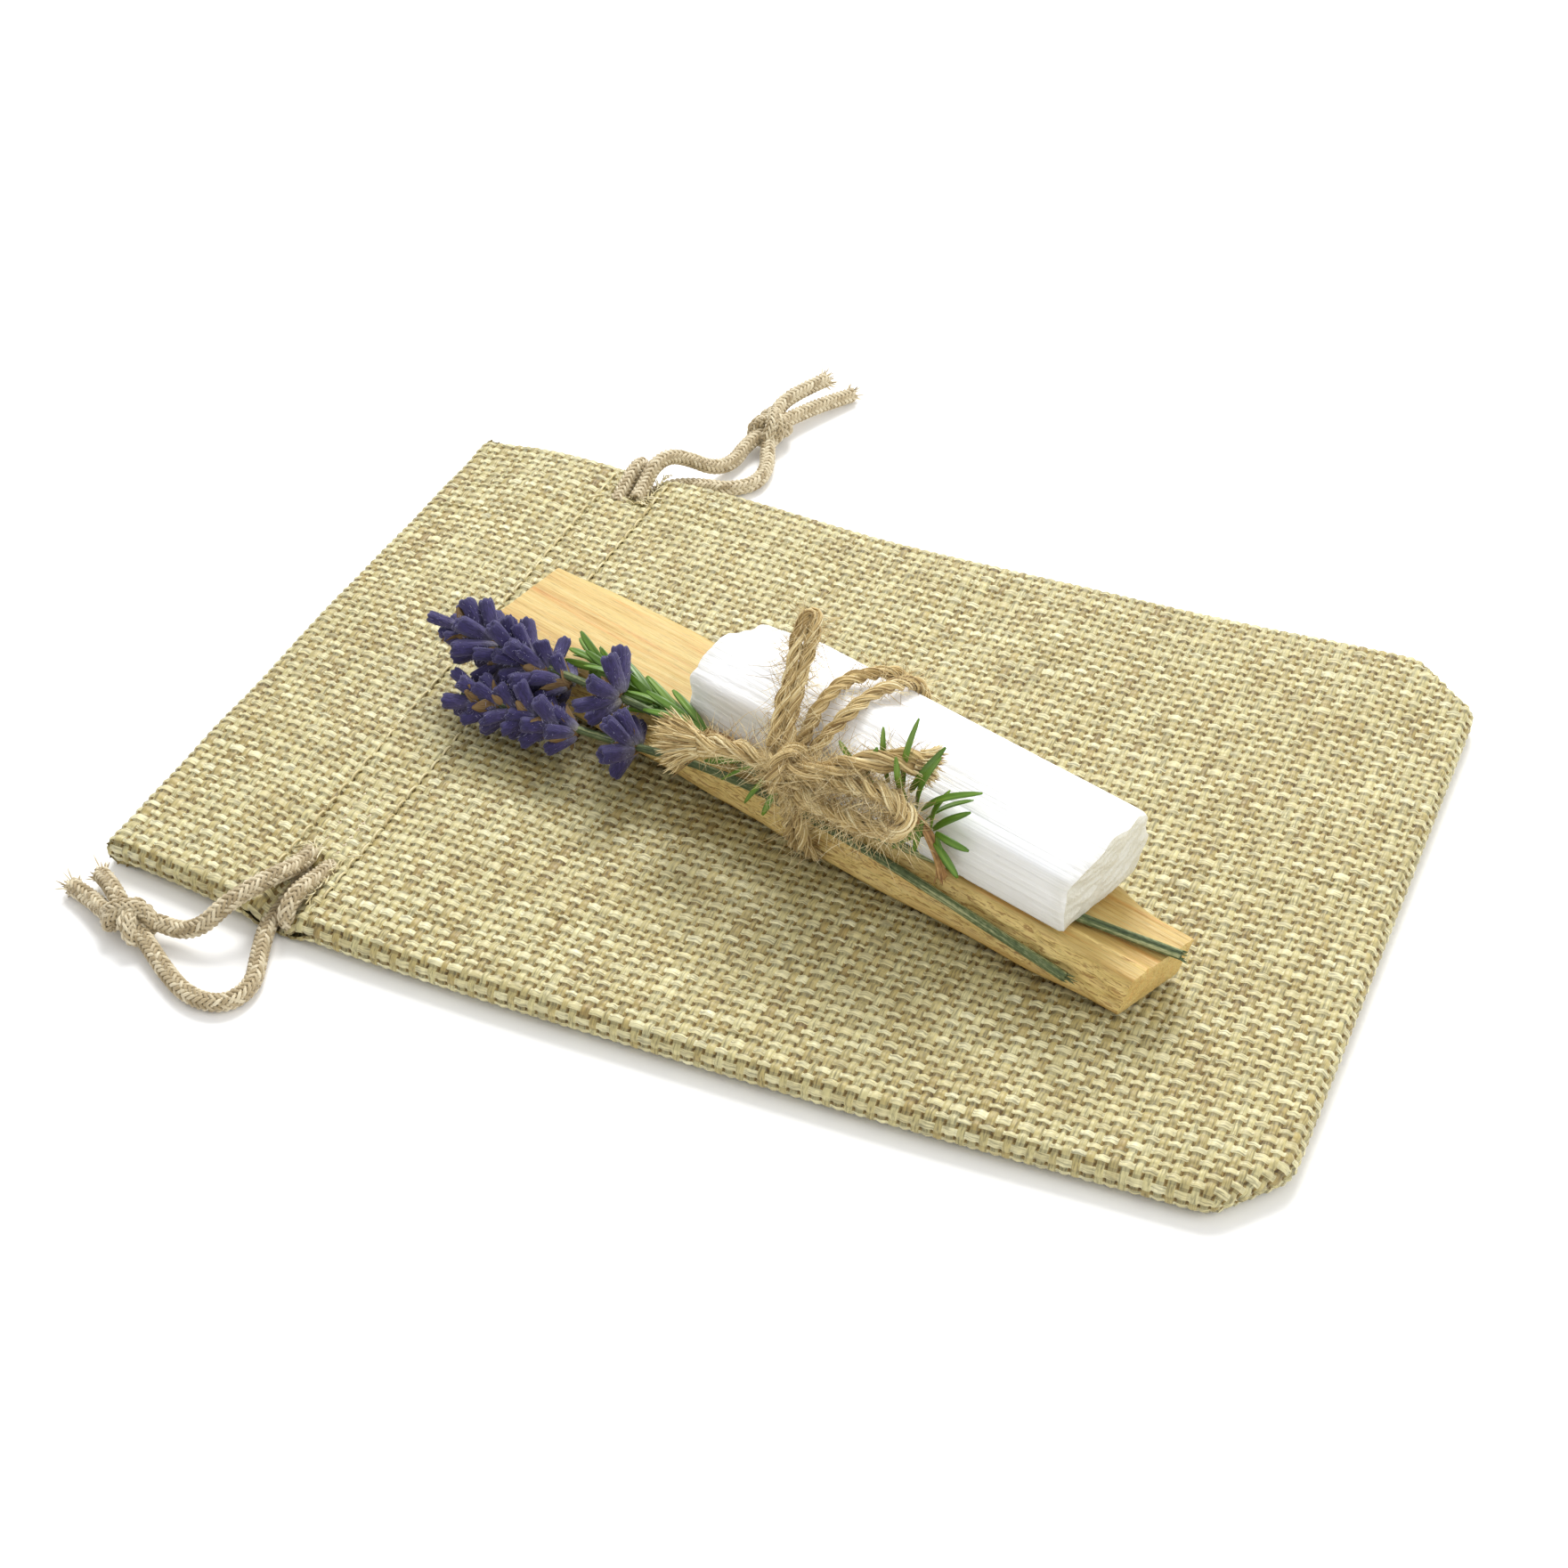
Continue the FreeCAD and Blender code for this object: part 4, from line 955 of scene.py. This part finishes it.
# ---------------------------------------------------------------- lavender
UPPER_STEM = [(-31.6, -11.9, 13.3), (-24.5, -11.2, 13.9), (-14.0, -10.3, 13.9), (-4.0, -10.1, 13.0),
              (6.0, -9.6, 12.3), (15.0, -8.4, 11.8), (26.0, -6.4, 11.74), (38.0, -4.6, 11.75),
              (51.0, -2.0, 11.8)]
LOWER_STEM = [(-27.4, -16.0, 10.2), (-20.4, -14.5, 10.6), (-11.0, -12.2, 11.3), (-2.0, -10.7, 11.2),
              (6.0, -10.0, 10.6), (15.0, -9.4, 10.0), (29.0, -9.15, 8.6), (41.2, -9.0, 7.4)]


def calyx_paint():
    paint = Paint("lavender_calyx", Sheen_Weight=0.35, Sheen_Roughness=0.6, Sheen_Tint=(0.5, 0.48, 0.7, 1.0))
    wool = paint.grain((1.6, 6.0, 6.0))
    along = paint.mix(0.35, paint.field("tint"), paint.noise(paint.field("grain", "Vector"), 0.5, 2.0))
    colour = paint.ramp(along, (0.1, (146, 142, 132)), (0.27, (106, 102, 122)), (0.45, (60, 52, 94)),
                        (0.64, (42, 33, 84)), (0.88, (34, 26, 74)))
    colour = paint.mix(1.0, colour, paint.ramp(wool, (0.34, 0.62), (0.66, 1.4)), "MULTIPLY")
    paint.bump(wool, 0.8, 0.16)
    return paint.done(colour, paint.ramp(wool, (0.2, 0.9), (0.8, 0.7)))


def stem_paint(name, dark, middle, light):
    paint = Paint(name)
    ridge = paint.grain((0.05, 3.2, 3.2))
    speck = paint.grain((1.5, 5.0, 5.0), 2.0)
    colour = paint.ramp(paint.mix(0.3, ridge, speck), (0.34, dark), (0.5, middle), (0.66, light))
    paint.bump(ridge, 0.6, 0.15)
    return paint.done(colour, paint.ramp(speck, (0.2, 0.75), (0.8, 0.55)))


def calyx(shape, base, ahead, length, width, rng):
    """One woolly ribbed calyx: a tube that swells, then closes round a toothed mouth."""
    bend = rng.normal(0, 0.35, 3)
    side = unit(np.cross(ahead, rng.normal(0, 1, 3)))
    other = np.cross(ahead, side)
    places = np.array([0.0, 0.05, 0.14, 0.28, 0.43, 0.58, 0.73, 0.87, 0.95, 1.0, 0.99, 0.92])
    widths = np.array([0.34, 0.52, 0.68, 0.8, 0.88, 0.93, 0.97, 1.0, 0.97, 0.8, 0.5, 0.12]) * width / 2
    angle = np.arange(20) * FULL_TURN / 20
    rib = 1 + 0.07 * np.cos(angle * 5 + rng.uniform(0, 6)) + 0.035 * np.cos(angle * 10)
    teeth = 0.025 * np.cos(angle * 5 + rng.uniform(0, 6))
    radius = widths[:, None] * rib * (1 + rng.normal(0, 0.02, (12, 20)))
    reach = (places[:, None] + teeth * smooth(0.8, 1.0, places)[:, None]) * length
    wide, high = radius * np.cos(angle), radius * np.sin(angle)
    points = (base + reach[..., None] * ahead + (places[:, None] ** 2)[..., None] * bend
              + wide[..., None] * side + high[..., None] * other)
    grain = np.stack([reach + rng.uniform(0, 90), wide, high], axis=-1)
    tint = np.broadcast_to(np.minimum(places, 1)[:, None] + rng.normal(0, 0.06), (12, 20))
    shape.add(points, tube_faces(12, 20), grain, tint)


def wool(shape, base, ahead, length, width, rng, count=26):
    """Short pale hairs that stand off a calyx."""
    side = unit(np.cross(ahead, np.array([0.2, 0.3, 1.0])))
    other = np.cross(ahead, side)
    t = np.linspace(0, 1, 3)[:, None]
    angle, along = rng.uniform(0, FULL_TURN, count), rng.uniform(0.15, 1.0, count)
    hairs = []
    for turn, place in zip(angle, along):
        out = spoke(side, other, turn)
        start = base + ahead * place * length + out * width * 0.46
        hairs.append(start + unit(out + ahead * rng.uniform(0, 1.2)) * rng.uniform(0.2, 0.5) * t)
    shape.threads(hairs, 0.022, 3, 0.5)


def bract(shape, base, ahead, out, size, rng):
    """A thin veined scale that sits under a group of calyces."""
    ahead = unit(ahead)
    side = np.cross(ahead, out)
    t = np.linspace(0, 1, 8)[:, None]
    w = np.linspace(-1, 1, 7)[None]
    wide = size * 0.5 * np.sin(math.pi * np.clip(t * 0.86 + 0.1, 0, 1)) ** 0.8
    cupped = (0.35 * t - 0.45 * w ** 2 * wide / size) * size + 0.25
    points = (base + (t * size * 1.15)[..., None] * ahead + (wide * w)[..., None] * side
              + cupped[..., None] * out)
    points = points + rng.normal(0, 0.03, points.shape)
    faces = grid_faces(8, 7)
    grain = np.stack([t * size + 0 * w, w * 3 + 0 * t, 0 * t * w], axis=-1)
    shape.add(points, faces, grain)
    shape.add(points - out * 0.09, faces[:, ::-1], grain)


def flower_group(buds, hairs, scales, centre, axis, count, spread, forward, size, turn, rng):
    """A ring of calyces round the stem; spread and forward set how they lean."""
    axis = unit(axis)
    side = unit(np.cross(axis, np.array([0.0, 0.0, 1.0])))
    other = np.cross(axis, side)
    for number in range(count):
        out = spoke(side, other, turn + FULL_TURN * (number + rng.uniform(-0.22, 0.22)) / count)
        ahead = unit(out * spread * rng.uniform(0.7, 1.35) + axis * forward + rng.normal(0, 0.1, 3))
        base = centre + out * 0.4 + axis * rng.uniform(-0.8, 0.8)
        length, width = size * rng.uniform(3.5, 5.2), size * rng.uniform(1.5, 2.1)
        calyx(buds, base, ahead, length, width, rng)
        wool(hairs, base, ahead, length, width, rng)
    for number in range(3):
        out = spoke(side, other, turn + FULL_TURN * (number + 0.5) / 3)
        bract(scales, centre - axis * 0.6, axis * 0.8 + out * 0.55, out, 2.6 * size, rng)
    for _ in range(2):
        out = spoke(side, other, rng.uniform(0, FULL_TURN))
        petal = centre + out * rng.uniform(0.8, 1.8) + axis * rng.uniform(0, 1.5)
        bract(scales, petal, axis + out + rng.normal(0, 0.5, 3), out, rng.uniform(0.8, 1.4), rng)


UPPER_TIERS = ((-11.0, 5, 1.0, 0.95), (-8.2, 7, 1.15, 1.05), (-5.4, 8, 1.15, 1.05), (-2.5, 8, 1.1, 1.05),
               (0.5, 7, 1.0, 1.05), (3.2, 6, 0.75, 1.0), (5.0, 4, 0.35, 0.95))
LOWER_TIERS = ((-10.0, 5, 0.85, 1.0), (-7.2, 7, 0.85, 1.0), (-4.4, 7, 0.8, 1.0), (-1.6, 7, 0.75, 1.0),
               (1.0, 6, 0.7, 1.0), (2.7, 5, 0.4, 0.95))
WHORL_TIER = ((0.0, 7, 1.0, 1.08),)


def lavender_flowers(name, node, centre, axis, tiers, forward, turn, paints, seed):
    """Rings of calyces along a stem, with their hairs and scales."""
    rng = np.random.default_rng(seed)
    shapes = Shape(), Shape(), Shape()
    centre, axis = np.array(centre), np.array(axis, float)
    for number, (along, count, spread, size) in enumerate(tiers):
        place = centre + axis * along
        flower_group(*shapes, place, axis, count, spread, forward, size, turn + number * 0.6, rng)
    buds, hairs, scales = shapes
    buds.piece(name + "_calyces", paints[0], "lavender_flower", "bundle", node)
    hairs.piece(name + "_wool", paints[1], "lavender_flower", "bundle")
    scales.piece(name + "_bracts", paints[2], "lavender_stem", "bundle")


def lavender_stem(name, route, material, seed, node):
    """A square grooved stem that is split at its cut end."""
    line = route_line(route, 0.4)
    angle = np.arange(16) * FULL_TURN / 16
    along = np.linspace(0, 1, len(line))[:, None]
    square = 1 + 0.13 * np.cos(4 * angle) - 0.06 * np.cos(8 * angle)
    shape = Shape()
    shape.rod(line, angle, (0.46 + 0.1 * along + 0.02 * np.sin(along * 60)) * square, 0.4)
    cut_end(shape, line, 0.5, np.random.default_rng(seed), 9, 0.25, 2.6)
    shape.piece(name, material, "lavender_stem", "bundle", node)


def head_axis(turn, pitch):
    turn = math.radians(turn)
    return -math.cos(turn), -math.sin(turn), pitch


def lavender():
    paints = (calyx_paint(), stem_paint("calyx_wool", (120, 116, 150), (160, 158, 190), (196, 194, 214)),
              stem_paint("bract", (86, 60, 34), (128, 98, 58), (168, 148, 104)))
    stems = stem_paint("lavender_stem", (48, 62, 34), (92, 106, 64), (176, 178, 128))
    for name, centre, axis, tiers, forward, turn, seed in (
            ("upper_head", (-41.6, -12.4, 12.7), head_axis(2, 0.03), UPPER_TIERS, 0.95, 0.0, 51),
            ("lower_head", (-35.6, -17.8, 9.6), head_axis(12, -0.02), LOWER_TIERS, 0.95, 0.0, 52),
            ("upper_whorl", (-22.9, -11.3, 14.5), (-1, -0.1, 0.1), WHORL_TIER, 0.75, 0.4, 53),
            ("lower_whorl", (-17.8, -13.8, 10.6), (-1, -0.25, 0.05), WHORL_TIER, 0.75, 0.4, 54)):
        lavender_flowers(name, "lavender_" + name, centre, axis, tiers, forward, turn, paints, seed)
    lavender_stem("upper_stem_ridged", [(-46.0, -12.5, 12.8)] + UPPER_STEM, stems, 55, "lavender_upper_stem")
    lavender_stem("lower_stem_ridged", [(-41.5, -19.0, 9.6)] + LOWER_STEM, stems, 56, "lavender_lower_stem")


# ---------------------------------------------------------------- rosemary
ROSEMARY_STEM = [(-33.0, -6.6, 12.6), (-24.0, -7.4, 12.4), (-14.5, -8.6, 12.9), (-5.0, -8.7, 14.3),
                 (4.0, -9.1, 15.0), (10.2, -9.3, 17.1), (15.6, -9.8, 19.9), (20.0, -9.6, 19.6),
                 (22.8, -9.1, 16.4), (24.0, -8.9, 11.7)]
CUT_END_NEEDLES = [((21.8, -9.0, 21.4), (28.4, -8.5, 26.1)), ((22.6, -9.0, 20.3), (27.3, -8.5, 24.5)),
                   ((23.2, -9.0, 18.7), (24.3, -8.7, 24.3)), ((23.9, -9.0, 18.9), (27.1, -8.6, 22.7)),
                   ((24.5, -9.0, 18.6), (27.3, -8.8, 17.4)), ((24.6, -9.0, 18.2), (24.9, -9.0, 13.4)),
                   ((22.1, -10.0, 19.6), (19.6, -10.5, 16.0)), ((22.3, -9.5, 17.3), (17.9, -10.5, 13.3)),
                   ((22.1, -10.0, 19.6), (21.0, -10.3, 14.7)), ((19.3, -11.0, 18.9), (18.9, -11.0, 15.1)),
                   ((21.0, -9.0, 21.2), (23.1, -9.0, 28.4)), ((16.3, -9.0, 24.2), (15.2, -9.0, 28.4)),
                   ((18.6, -8.0, 24.2), (19.2, -8.0, 31.1)), ((19.8, -8.0, 24.0), (22.9, -8.0, 29.1)),
                   ((12.2, -10.5, 22.7), (15.6, -10.5, 26.7)), ((14.3, -10.5, 22.8), (10.7, -11.0, 25.3)),
                   ((19.8, -10.0, 22.5), (18.2, -10.5, 26.8)), ((23.4, -9.2, 16.6), (26.6, -9.6, 13.6)),
                   ((-1.0, -10.6, 14.6), (-5.4, -12.6, 11.8)), ((0.5, -11.0, 15.0), (-1.6, -12.9, 10.6)),
                   ((-3.0, -10.4, 14.4), (-8.6, -12.0, 12.4)), ((2.0, -11.4, 14.8), (1.2, -13.0, 10.4))]
TIP_NEEDLES = 32


def needle_paint():
    paint = Paint("rosemary_needle", Coat_Weight=0.25, Coat_Roughness=0.35)
    vein = paint.grain((0.2, 3.0, 3.0), 2.0)
    tone = paint.mix(0.4, paint.field("tint"), vein)
    colour = paint.ramp(tone, (0.15, (36, 62, 4)), (0.5, (86, 126, 18)), (0.85, (156, 184, 70)))
    paint.bump(vein, 0.5, 0.1)
    return paint.done(colour, paint.ramp(vein, (0.2, 0.55), (0.8, 0.35)))


def needle(shape, base, tip, rng, width=1.0):
    """One leathery leaf: a narrow blade with a groove along its top and rolled edges."""
    base, tip = np.array(base, float), np.array(tip, float)
    t = np.linspace(0, 1, 12)[:, None]
    reach = np.linalg.norm(tip - base)
    ahead = (tip - base) / reach
    up = unit(np.cross(np.cross(ahead, rng.normal(0, 0.5, 3) + np.array([0.1, -0.5, 1.0])), ahead))
    side = np.cross(ahead, up)
    line = base + (tip - base) * t + up * rng.uniform(0.3, 1.0) * 0.12 * reach * np.sin(math.pi * t)
    half = width * 0.5 * np.clip(np.sin(math.pi * np.clip(t * 0.93 + 0.06, 0, 1)), 0.04, 1) ** 0.38
    angle = np.arange(10) * FULL_TURN / 10
    groove = np.where(np.sin(angle) > 0.9, 0.35, 1.0)
    points = (line[:, None] + (half * np.cos(angle))[..., None] * side
              + (half * 0.42 * np.sin(angle) * groove)[..., None] * up)
    along = t * reach + rng.uniform(0, 50) + 0 * half * angle
    grain = np.stack([along, half * np.cos(angle), half * np.sin(angle)], axis=-1)
    tint = np.clip(0.35 + 0.25 * rng.random() + 0.2 * (groove < 1) - 0.12 * np.sin(angle), 0, 1)
    shape.add(points, tube_faces(12, 10), grain, np.broadcast_to(tint, (12, 10)))


def rosemary_twig(line, rng):
    along = np.linspace(0, 1, len(line))[:, None]
    angle = np.arange(12) * FULL_TURN / 12
    radius = (0.42 + 0.12 * along + 0.05 * np.sin(along * 70)) * (1 + 0.1 * np.cos(3 * angle + 9 * along))
    shape = Shape()
    shape.rod(line, angle, radius, 0.35)
    cut_end(shape, line, 0.6, rng, 12, 0.5, 1.6)
    bark = stem_paint("rosemary_bark", (118, 80, 44), (176, 134, 82), (214, 180, 124))
    shape.piece("rosemary_twig_bark", bark, "rosemary_twig", "bundle", "rosemary_stem")


def rosemary():
    green = needle_paint()
    rng = np.random.default_rng(61)
    line = route_line(ROSEMARY_STEM, 0.35)
    rosemary_twig(line, rng)
    tips, ends = Shape(), Shape()
    for number in range(TIP_NEEDLES):
        share = number / TIP_NEEDLES
        place = line[int((0.04 + 0.34 * share) * len(line))]
        turn = number * 2.4
        out = np.array([-1.7 + 0.5 * rng.random(), math.cos(turn) * 0.5, math.sin(turn) * 0.42 + 0.08])
        length = rng.uniform(5.5, 8.5) * (0.8 + 0.3 * share)
        tip = place + unit(out) * length
        tip[2] = max(tip[2], 11.6)
        tip[1] = np.clip(tip[1], -13.0, -3.2)
        needle(tips, place, tip, rng, 1.0)
    for base, tip in CUT_END_NEEDLES:
        base = np.array(base)
        nearest = line[np.argmin(np.linalg.norm(line - base, axis=1))]
        needle(ends, nearest * 0.6 + base * 0.4, tip, rng, 0.9)
    tips.piece("rosemary_tip_leaves", green, "rosemary_leaf", "bundle", "rosemary_tip_needles")
    ends.piece("rosemary_cut_end_leaves", green, "rosemary_leaf", "bundle", "rosemary_cut_end_needles")


# ---------------------------------------------------------------- jute twine
UPRIGHT_LOOP = [(2.8, -13.0, 21.4), (1.4, -10.2, 23.8), (0.0, -6.6, 26.6), (-1.7, -3.6, 28.9),
                (-2.3, -1.3, 30.8), (-1.2, -0.6, 30.9), (-0.3, -2.4, 29.2), (1.1, -6.4, 25.9),
                (3.0, -10.5, 23.0), (4.6, -12.5, 21.0)]
SIDE_LOOP = [(6.6, -12.9, 19.8), (11.0, -12.7, 20.9), (15.4, -12.2, 22.0), (19.4, -12.0, 22.6),
             (21.8, -12.6, 21.6), (21.0, -13.6, 19.6), (17.0, -13.9, 18.6), (12.6, -13.9, 18.1),
             (7.4, -13.6, 17.4)]
LEFT_TAIL = [(4.4, -13.6, 19.6), (2.2, -13.8, 19.6), (-1.6, -13.7, 19.2), (-4.8, -13.9, 18.0),
             (-8.2, -14.4, 16.9)]
RIGHT_TAIL = [(5.0, -13.6, 20.2), (7.4, -13.8, 20.6), (10.8, -12.6, 22.4), (14.6, -11.0, 24.6),
              (18.6, -8.6, 25.6), (20.6, -7.6, 25.0)]
LEFT_WRAP = [(4.9, -13.4, 18.0), (3.8, -8.7, 20.6), (2.9, -5.6, 22.3), (2.9, -1.6, 23.7), (4.0, 3.2, 23.0),
             (5.2, 7.4, 20.9), (5.2, 8.9, 16.0), (4.6, 8.3, 11.6), (4.2, 6.9, 5.0), (4.2, 0.0, 4.55),
             (4.4, -8.2, 4.6), (4.6, -11.6, 6.6), (4.6, -12.4, 10.8), (4.7, -13.4, 15.0), (4.7, -13.6, 18.2)]
RIGHT_WRAP = [(5.6, -13.0, 18.2), (5.9, -8.7, 20.9), (6.3, -5.6, 22.3), (6.8, -1.6, 23.7), (7.3, 3.2, 23.0),
              (7.4, 7.4, 20.9), (7.4, 8.9, 16.0), (7.3, 8.3, 11.6), (7.4, 6.7, 5.0), (7.4, 0.0, 4.55),
              (7.2, -8.2, 4.6), (6.8, -11.6, 6.6), (6.4, -12.4, 10.8), (6.0, -13.4, 15.0), (5.4, -13.6, 18.0)]
TWINE_KNOT = (4.7, -13.0, 19.4)
TWINE_RADIUS = 1.05
TWINE_STEP = 0.3
TWINE_PLIES = 3
WRAP_THICK = 0.86
SHORT_FUZZ = (0.6, 3.4)
KNOT_TURNS = ((1.05, ((-0.3, 1.6, -3.2), (-0.4, -1.2, -2.8), (-0.2, -2.1, -0.6), (0.1, -1.7, 1.8),
                      (0.4, 0.4, 2.8), (0.6, 2.0, 1.4))),
              (1.0, ((-2.4, 1.4, -0.6), (-2.8, -0.2, 0.2), (-1.4, -0.9, 1.2), (1.4, -0.9, 0.9),
                     (2.8, -0.2, 0.0), (2.3, 1.4, -0.6))),
              (0.95, ((-2.2, 1.2, -1.6), (-1.8, -0.7, -1.9), (0.6, -1.2, -1.6), (2.6, -0.5, -1.2),
                      (2.6, 1.0, -1.0))))


def jute_paint():
    paint = Paint("jute_fibre", Sheen_Weight=0.2)
    fibre = paint.grain((0.7, 7.0, 7.0))
    patch = paint.grain((0.2, 0.6, 0.6), 2.0)
    tone = paint.mix(0.45, paint.field("tint"), paint.mix(0.4, fibre, patch))
    colour = paint.ramp(tone, (0.2, (134, 104, 54)), (0.42, (196, 169, 111)), (0.6, (229, 207, 151)),
                        (0.82, (248, 236, 194)))
    paint.bump(fibre, 0.6, 0.12)
    return paint.done(colour, paint.ramp(fibre, (0.3, 0.8), (0.8, 0.6)))


def twist(shape, line, radius, rng, pitch=7.0, fibres=11, swell=1.0):
    """Spun twine: plies that turn round each other, each a bundle of fibres."""
    first, second = sides_along(line)
    along = distance_along(line)
    size = np.ones(len(line)) * radius * swell
    uneven = 1 + 0.06 * np.sin(along * 0.9 + rng.uniform(0, 6))
    uneven = uneven + 0.04 * np.sin(along * 2.3 + rng.uniform(0, 6))
    strands = []
    for ply in range(TWINE_PLIES):
        angle = FULL_TURN * along / pitch + ply * FULL_TURN / TWINE_PLIES
        out = first * np.cos(angle)[:, None] + second * np.sin(angle)[:, None]
        turn = -first * np.sin(angle)[:, None] + second * np.cos(angle)[:, None]
        middle = line + out * (size * 0.5 * uneven)[:, None]
        tone = rng.uniform(0.35, 0.65)
        # Each ply's core is given a tone 0.25 below its fibres: painted shade that shows in the gaps between
        # them.
        strands.append((middle, out, turn, size * 0.36, tone - 0.25))
        for fibre in range(fibres):
            spin = -FULL_TURN * along / (pitch * 1.7) + fibre * FULL_TURN / fibres + rng.normal(0, 0.15)
            drift = 1 + 0.2 * np.sin(along * rng.uniform(0.4, 1.8) + rng.uniform(0, 6))
            offset = (out * np.cos(spin)[:, None] + turn * np.sin(spin)[:, None])
            centre = middle + offset * (size * 0.34 * drift * uneven)[:, None]
            radius_here = size * 0.095 * rng.uniform(0.7, 1.35)
            strands.append((centre, out, turn, radius_here, np.clip(tone + rng.normal(0, 0.26), 0, 1)))
    centres, sides, others, radii, tints = (np.array(values) for values in zip(*strands))
    shape.tubes(centres, sides, others, radii, 6, tints)


def fuzz(shape, line, radius, count, rng, reach=(0.8, 4.0), lowest=-math.inf):
    """Loose fibres that stand off the twine, root on it and tip in the air."""
    t = np.linspace(0, 1, 9)[:, None]
    hairs = []
    for _ in range(count):
        index = rng.integers(2, len(line) - 3)
        tangent = unit(line[index + 2] - line[index - 2])
        out = unit(np.cross(tangent, rng.normal(0, 1, 3)))
        long = rng.uniform(*reach) * (1.0 if rng.random() < 0.9 else 1.8)
        heading = unit(out + tangent * rng.choice([-1, 1]) * rng.uniform(0.2, 1.3))
        curl = unit(rng.normal(0, 1, 3)) * long * rng.uniform(0.05, 0.35)
        wave = curl * np.sin(t * rng.uniform(1.5, 4.0)) * t
        hairs.append(line[index] + out * radius * 0.85 + heading * long * t + wave)
    hairs = np.array(hairs)
    hairs[..., 2] = np.maximum(hairs[..., 2], lowest)
    shape.threads(hairs, 0.03, 3, rng.random(count), taper=4)


def brush(shape, line, radius, rng, count, spread, reach, flat):
    """The untwisted end of the twine: many fibres that fan out."""
    first, second = sides_along(line)
    t = np.linspace(0, 1, 12)[:, None]
    tangent = unit(line[-1] - line[-8])
    fibres = []
    for _ in range(count):
        angle, far = rng.uniform(0, FULL_TURN), math.sqrt(rng.random())
        out = spoke(first[-1], second[-1] * flat, angle)
        start = line[-6] + out * radius * 1.35 * far
        long = reach * rng.uniform(0.65, 1.05)
        curve = out * spread * far * t ** 1.3 + rng.normal(0, 0.3, 3) * t * t
        fibres.append(start + tangent * long * t + curve + rng.normal(0, 0.12, 3) * np.sin(t * 9) * t)
    shape.threads(fibres, 0.085, 4, rng.random(count), taper=3)


def twine_piece(shape, name, material, *nodes):
    return shape.piece(name, material, "jute_twine", "bundle", *nodes)


def twine_wrap(name, route, material, seed, node):
    rng = np.random.default_rng(seed)
    line = route_line(route, TWINE_STEP)
    line[:, 2] = np.maximum(line[:, 2], 4.75)
    under = smooth(6.0, 4.9, line[:, 2])
    shape, hairs = Shape(), Shape()
    twist(shape, line, TWINE_RADIUS * WRAP_THICK, rng, pitch=6.0, swell=1 - 0.25 * under)
    shape.points[0][:, 2] = np.maximum(shape.points[0][:, 2], 4.3)
    twine_piece(shape, name, material, node)
    fuzz(hairs, line, TWINE_RADIUS * WRAP_THICK, 420, rng, SHORT_FUZZ, 4.5)
    twine_piece(hairs, name + "_fuzz", material)


def twine_loop(name, route, material, seed, node, thick, hairs_count):
    rng = np.random.default_rng(seed)
    line = route_line(route, TWINE_STEP)
    shape, hairs = Shape(), Shape()
    twist(shape, line, TWINE_RADIUS * thick, rng)
    made = twine_piece(shape, name, material, node)
    fuzz(hairs, line, TWINE_RADIUS * thick, hairs_count, rng)
    twine_piece(hairs, name + "_fuzz", material)


def twine_tail(name, route, material, seed, node, brush_settings):
    rng = np.random.default_rng(seed)
    line = route_line(route, TWINE_STEP)
    shape = Shape()
    swell = 1.15 + 0.4 * smooth(0.2, 1, np.linspace(0, 1, len(line)))
    twist(shape, line, TWINE_RADIUS, rng, pitch=12.0, fibres=9, swell=swell)
    brush(shape, line, TWINE_RADIUS, rng, *brush_settings)
    fuzz(shape, line, TWINE_RADIUS * 1.3, 260, rng, SHORT_FUZZ)
    return twine_piece(shape, name, material, node)


def twine_knot(material):
    """The bow's knot: a band that goes up over the loops, and two turns behind it."""
    rng = np.random.default_rng(75)
    shape = Shape()
    for thick, steps in KNOT_TURNS:
        line = route_line([np.array(TWINE_KNOT) + np.array(step) for step in steps], TWINE_STEP)
        twist(shape, line, TWINE_RADIUS * thick, rng)
        fuzz(shape, line, TWINE_RADIUS, 220, rng, SHORT_FUZZ)
        fuzz(shape, line, TWINE_RADIUS, 9, rng, (5.0, 9.0))
    return twine_piece(shape, "twine_knot_turns", material, "twine_knot")


def twine():
    material = jute_paint()
    twine_wrap("twine_left_strand", LEFT_WRAP, material, 71, "twine_left_wrap")
    twine_wrap("twine_right_strand", RIGHT_WRAP, material, 72, "twine_right_wrap")
    knot = twine_knot(material)
    left = twine_tail("twine_left_brush", LEFT_TAIL, material, 76, "twine_left_tail", (460, 2.4, 5.4, 0.85))
    right = twine_tail("twine_right_end", RIGHT_TAIL, material, 77, "twine_right_tail", (260, 0.9, 2.6, 1.0))
    twine_loop("twine_upright_bow", UPRIGHT_LOOP, material, 73, "twine_upright_loop", 0.86, 560)
    twine_loop("twine_side_bow", SIDE_LOOP, material, 74, "twine_side_loop", 1.35, 1300)


camera()
floor()
studio()
drawstrings()
pouch()
stick()
crystal()
lavender()
rosemary()
twine()
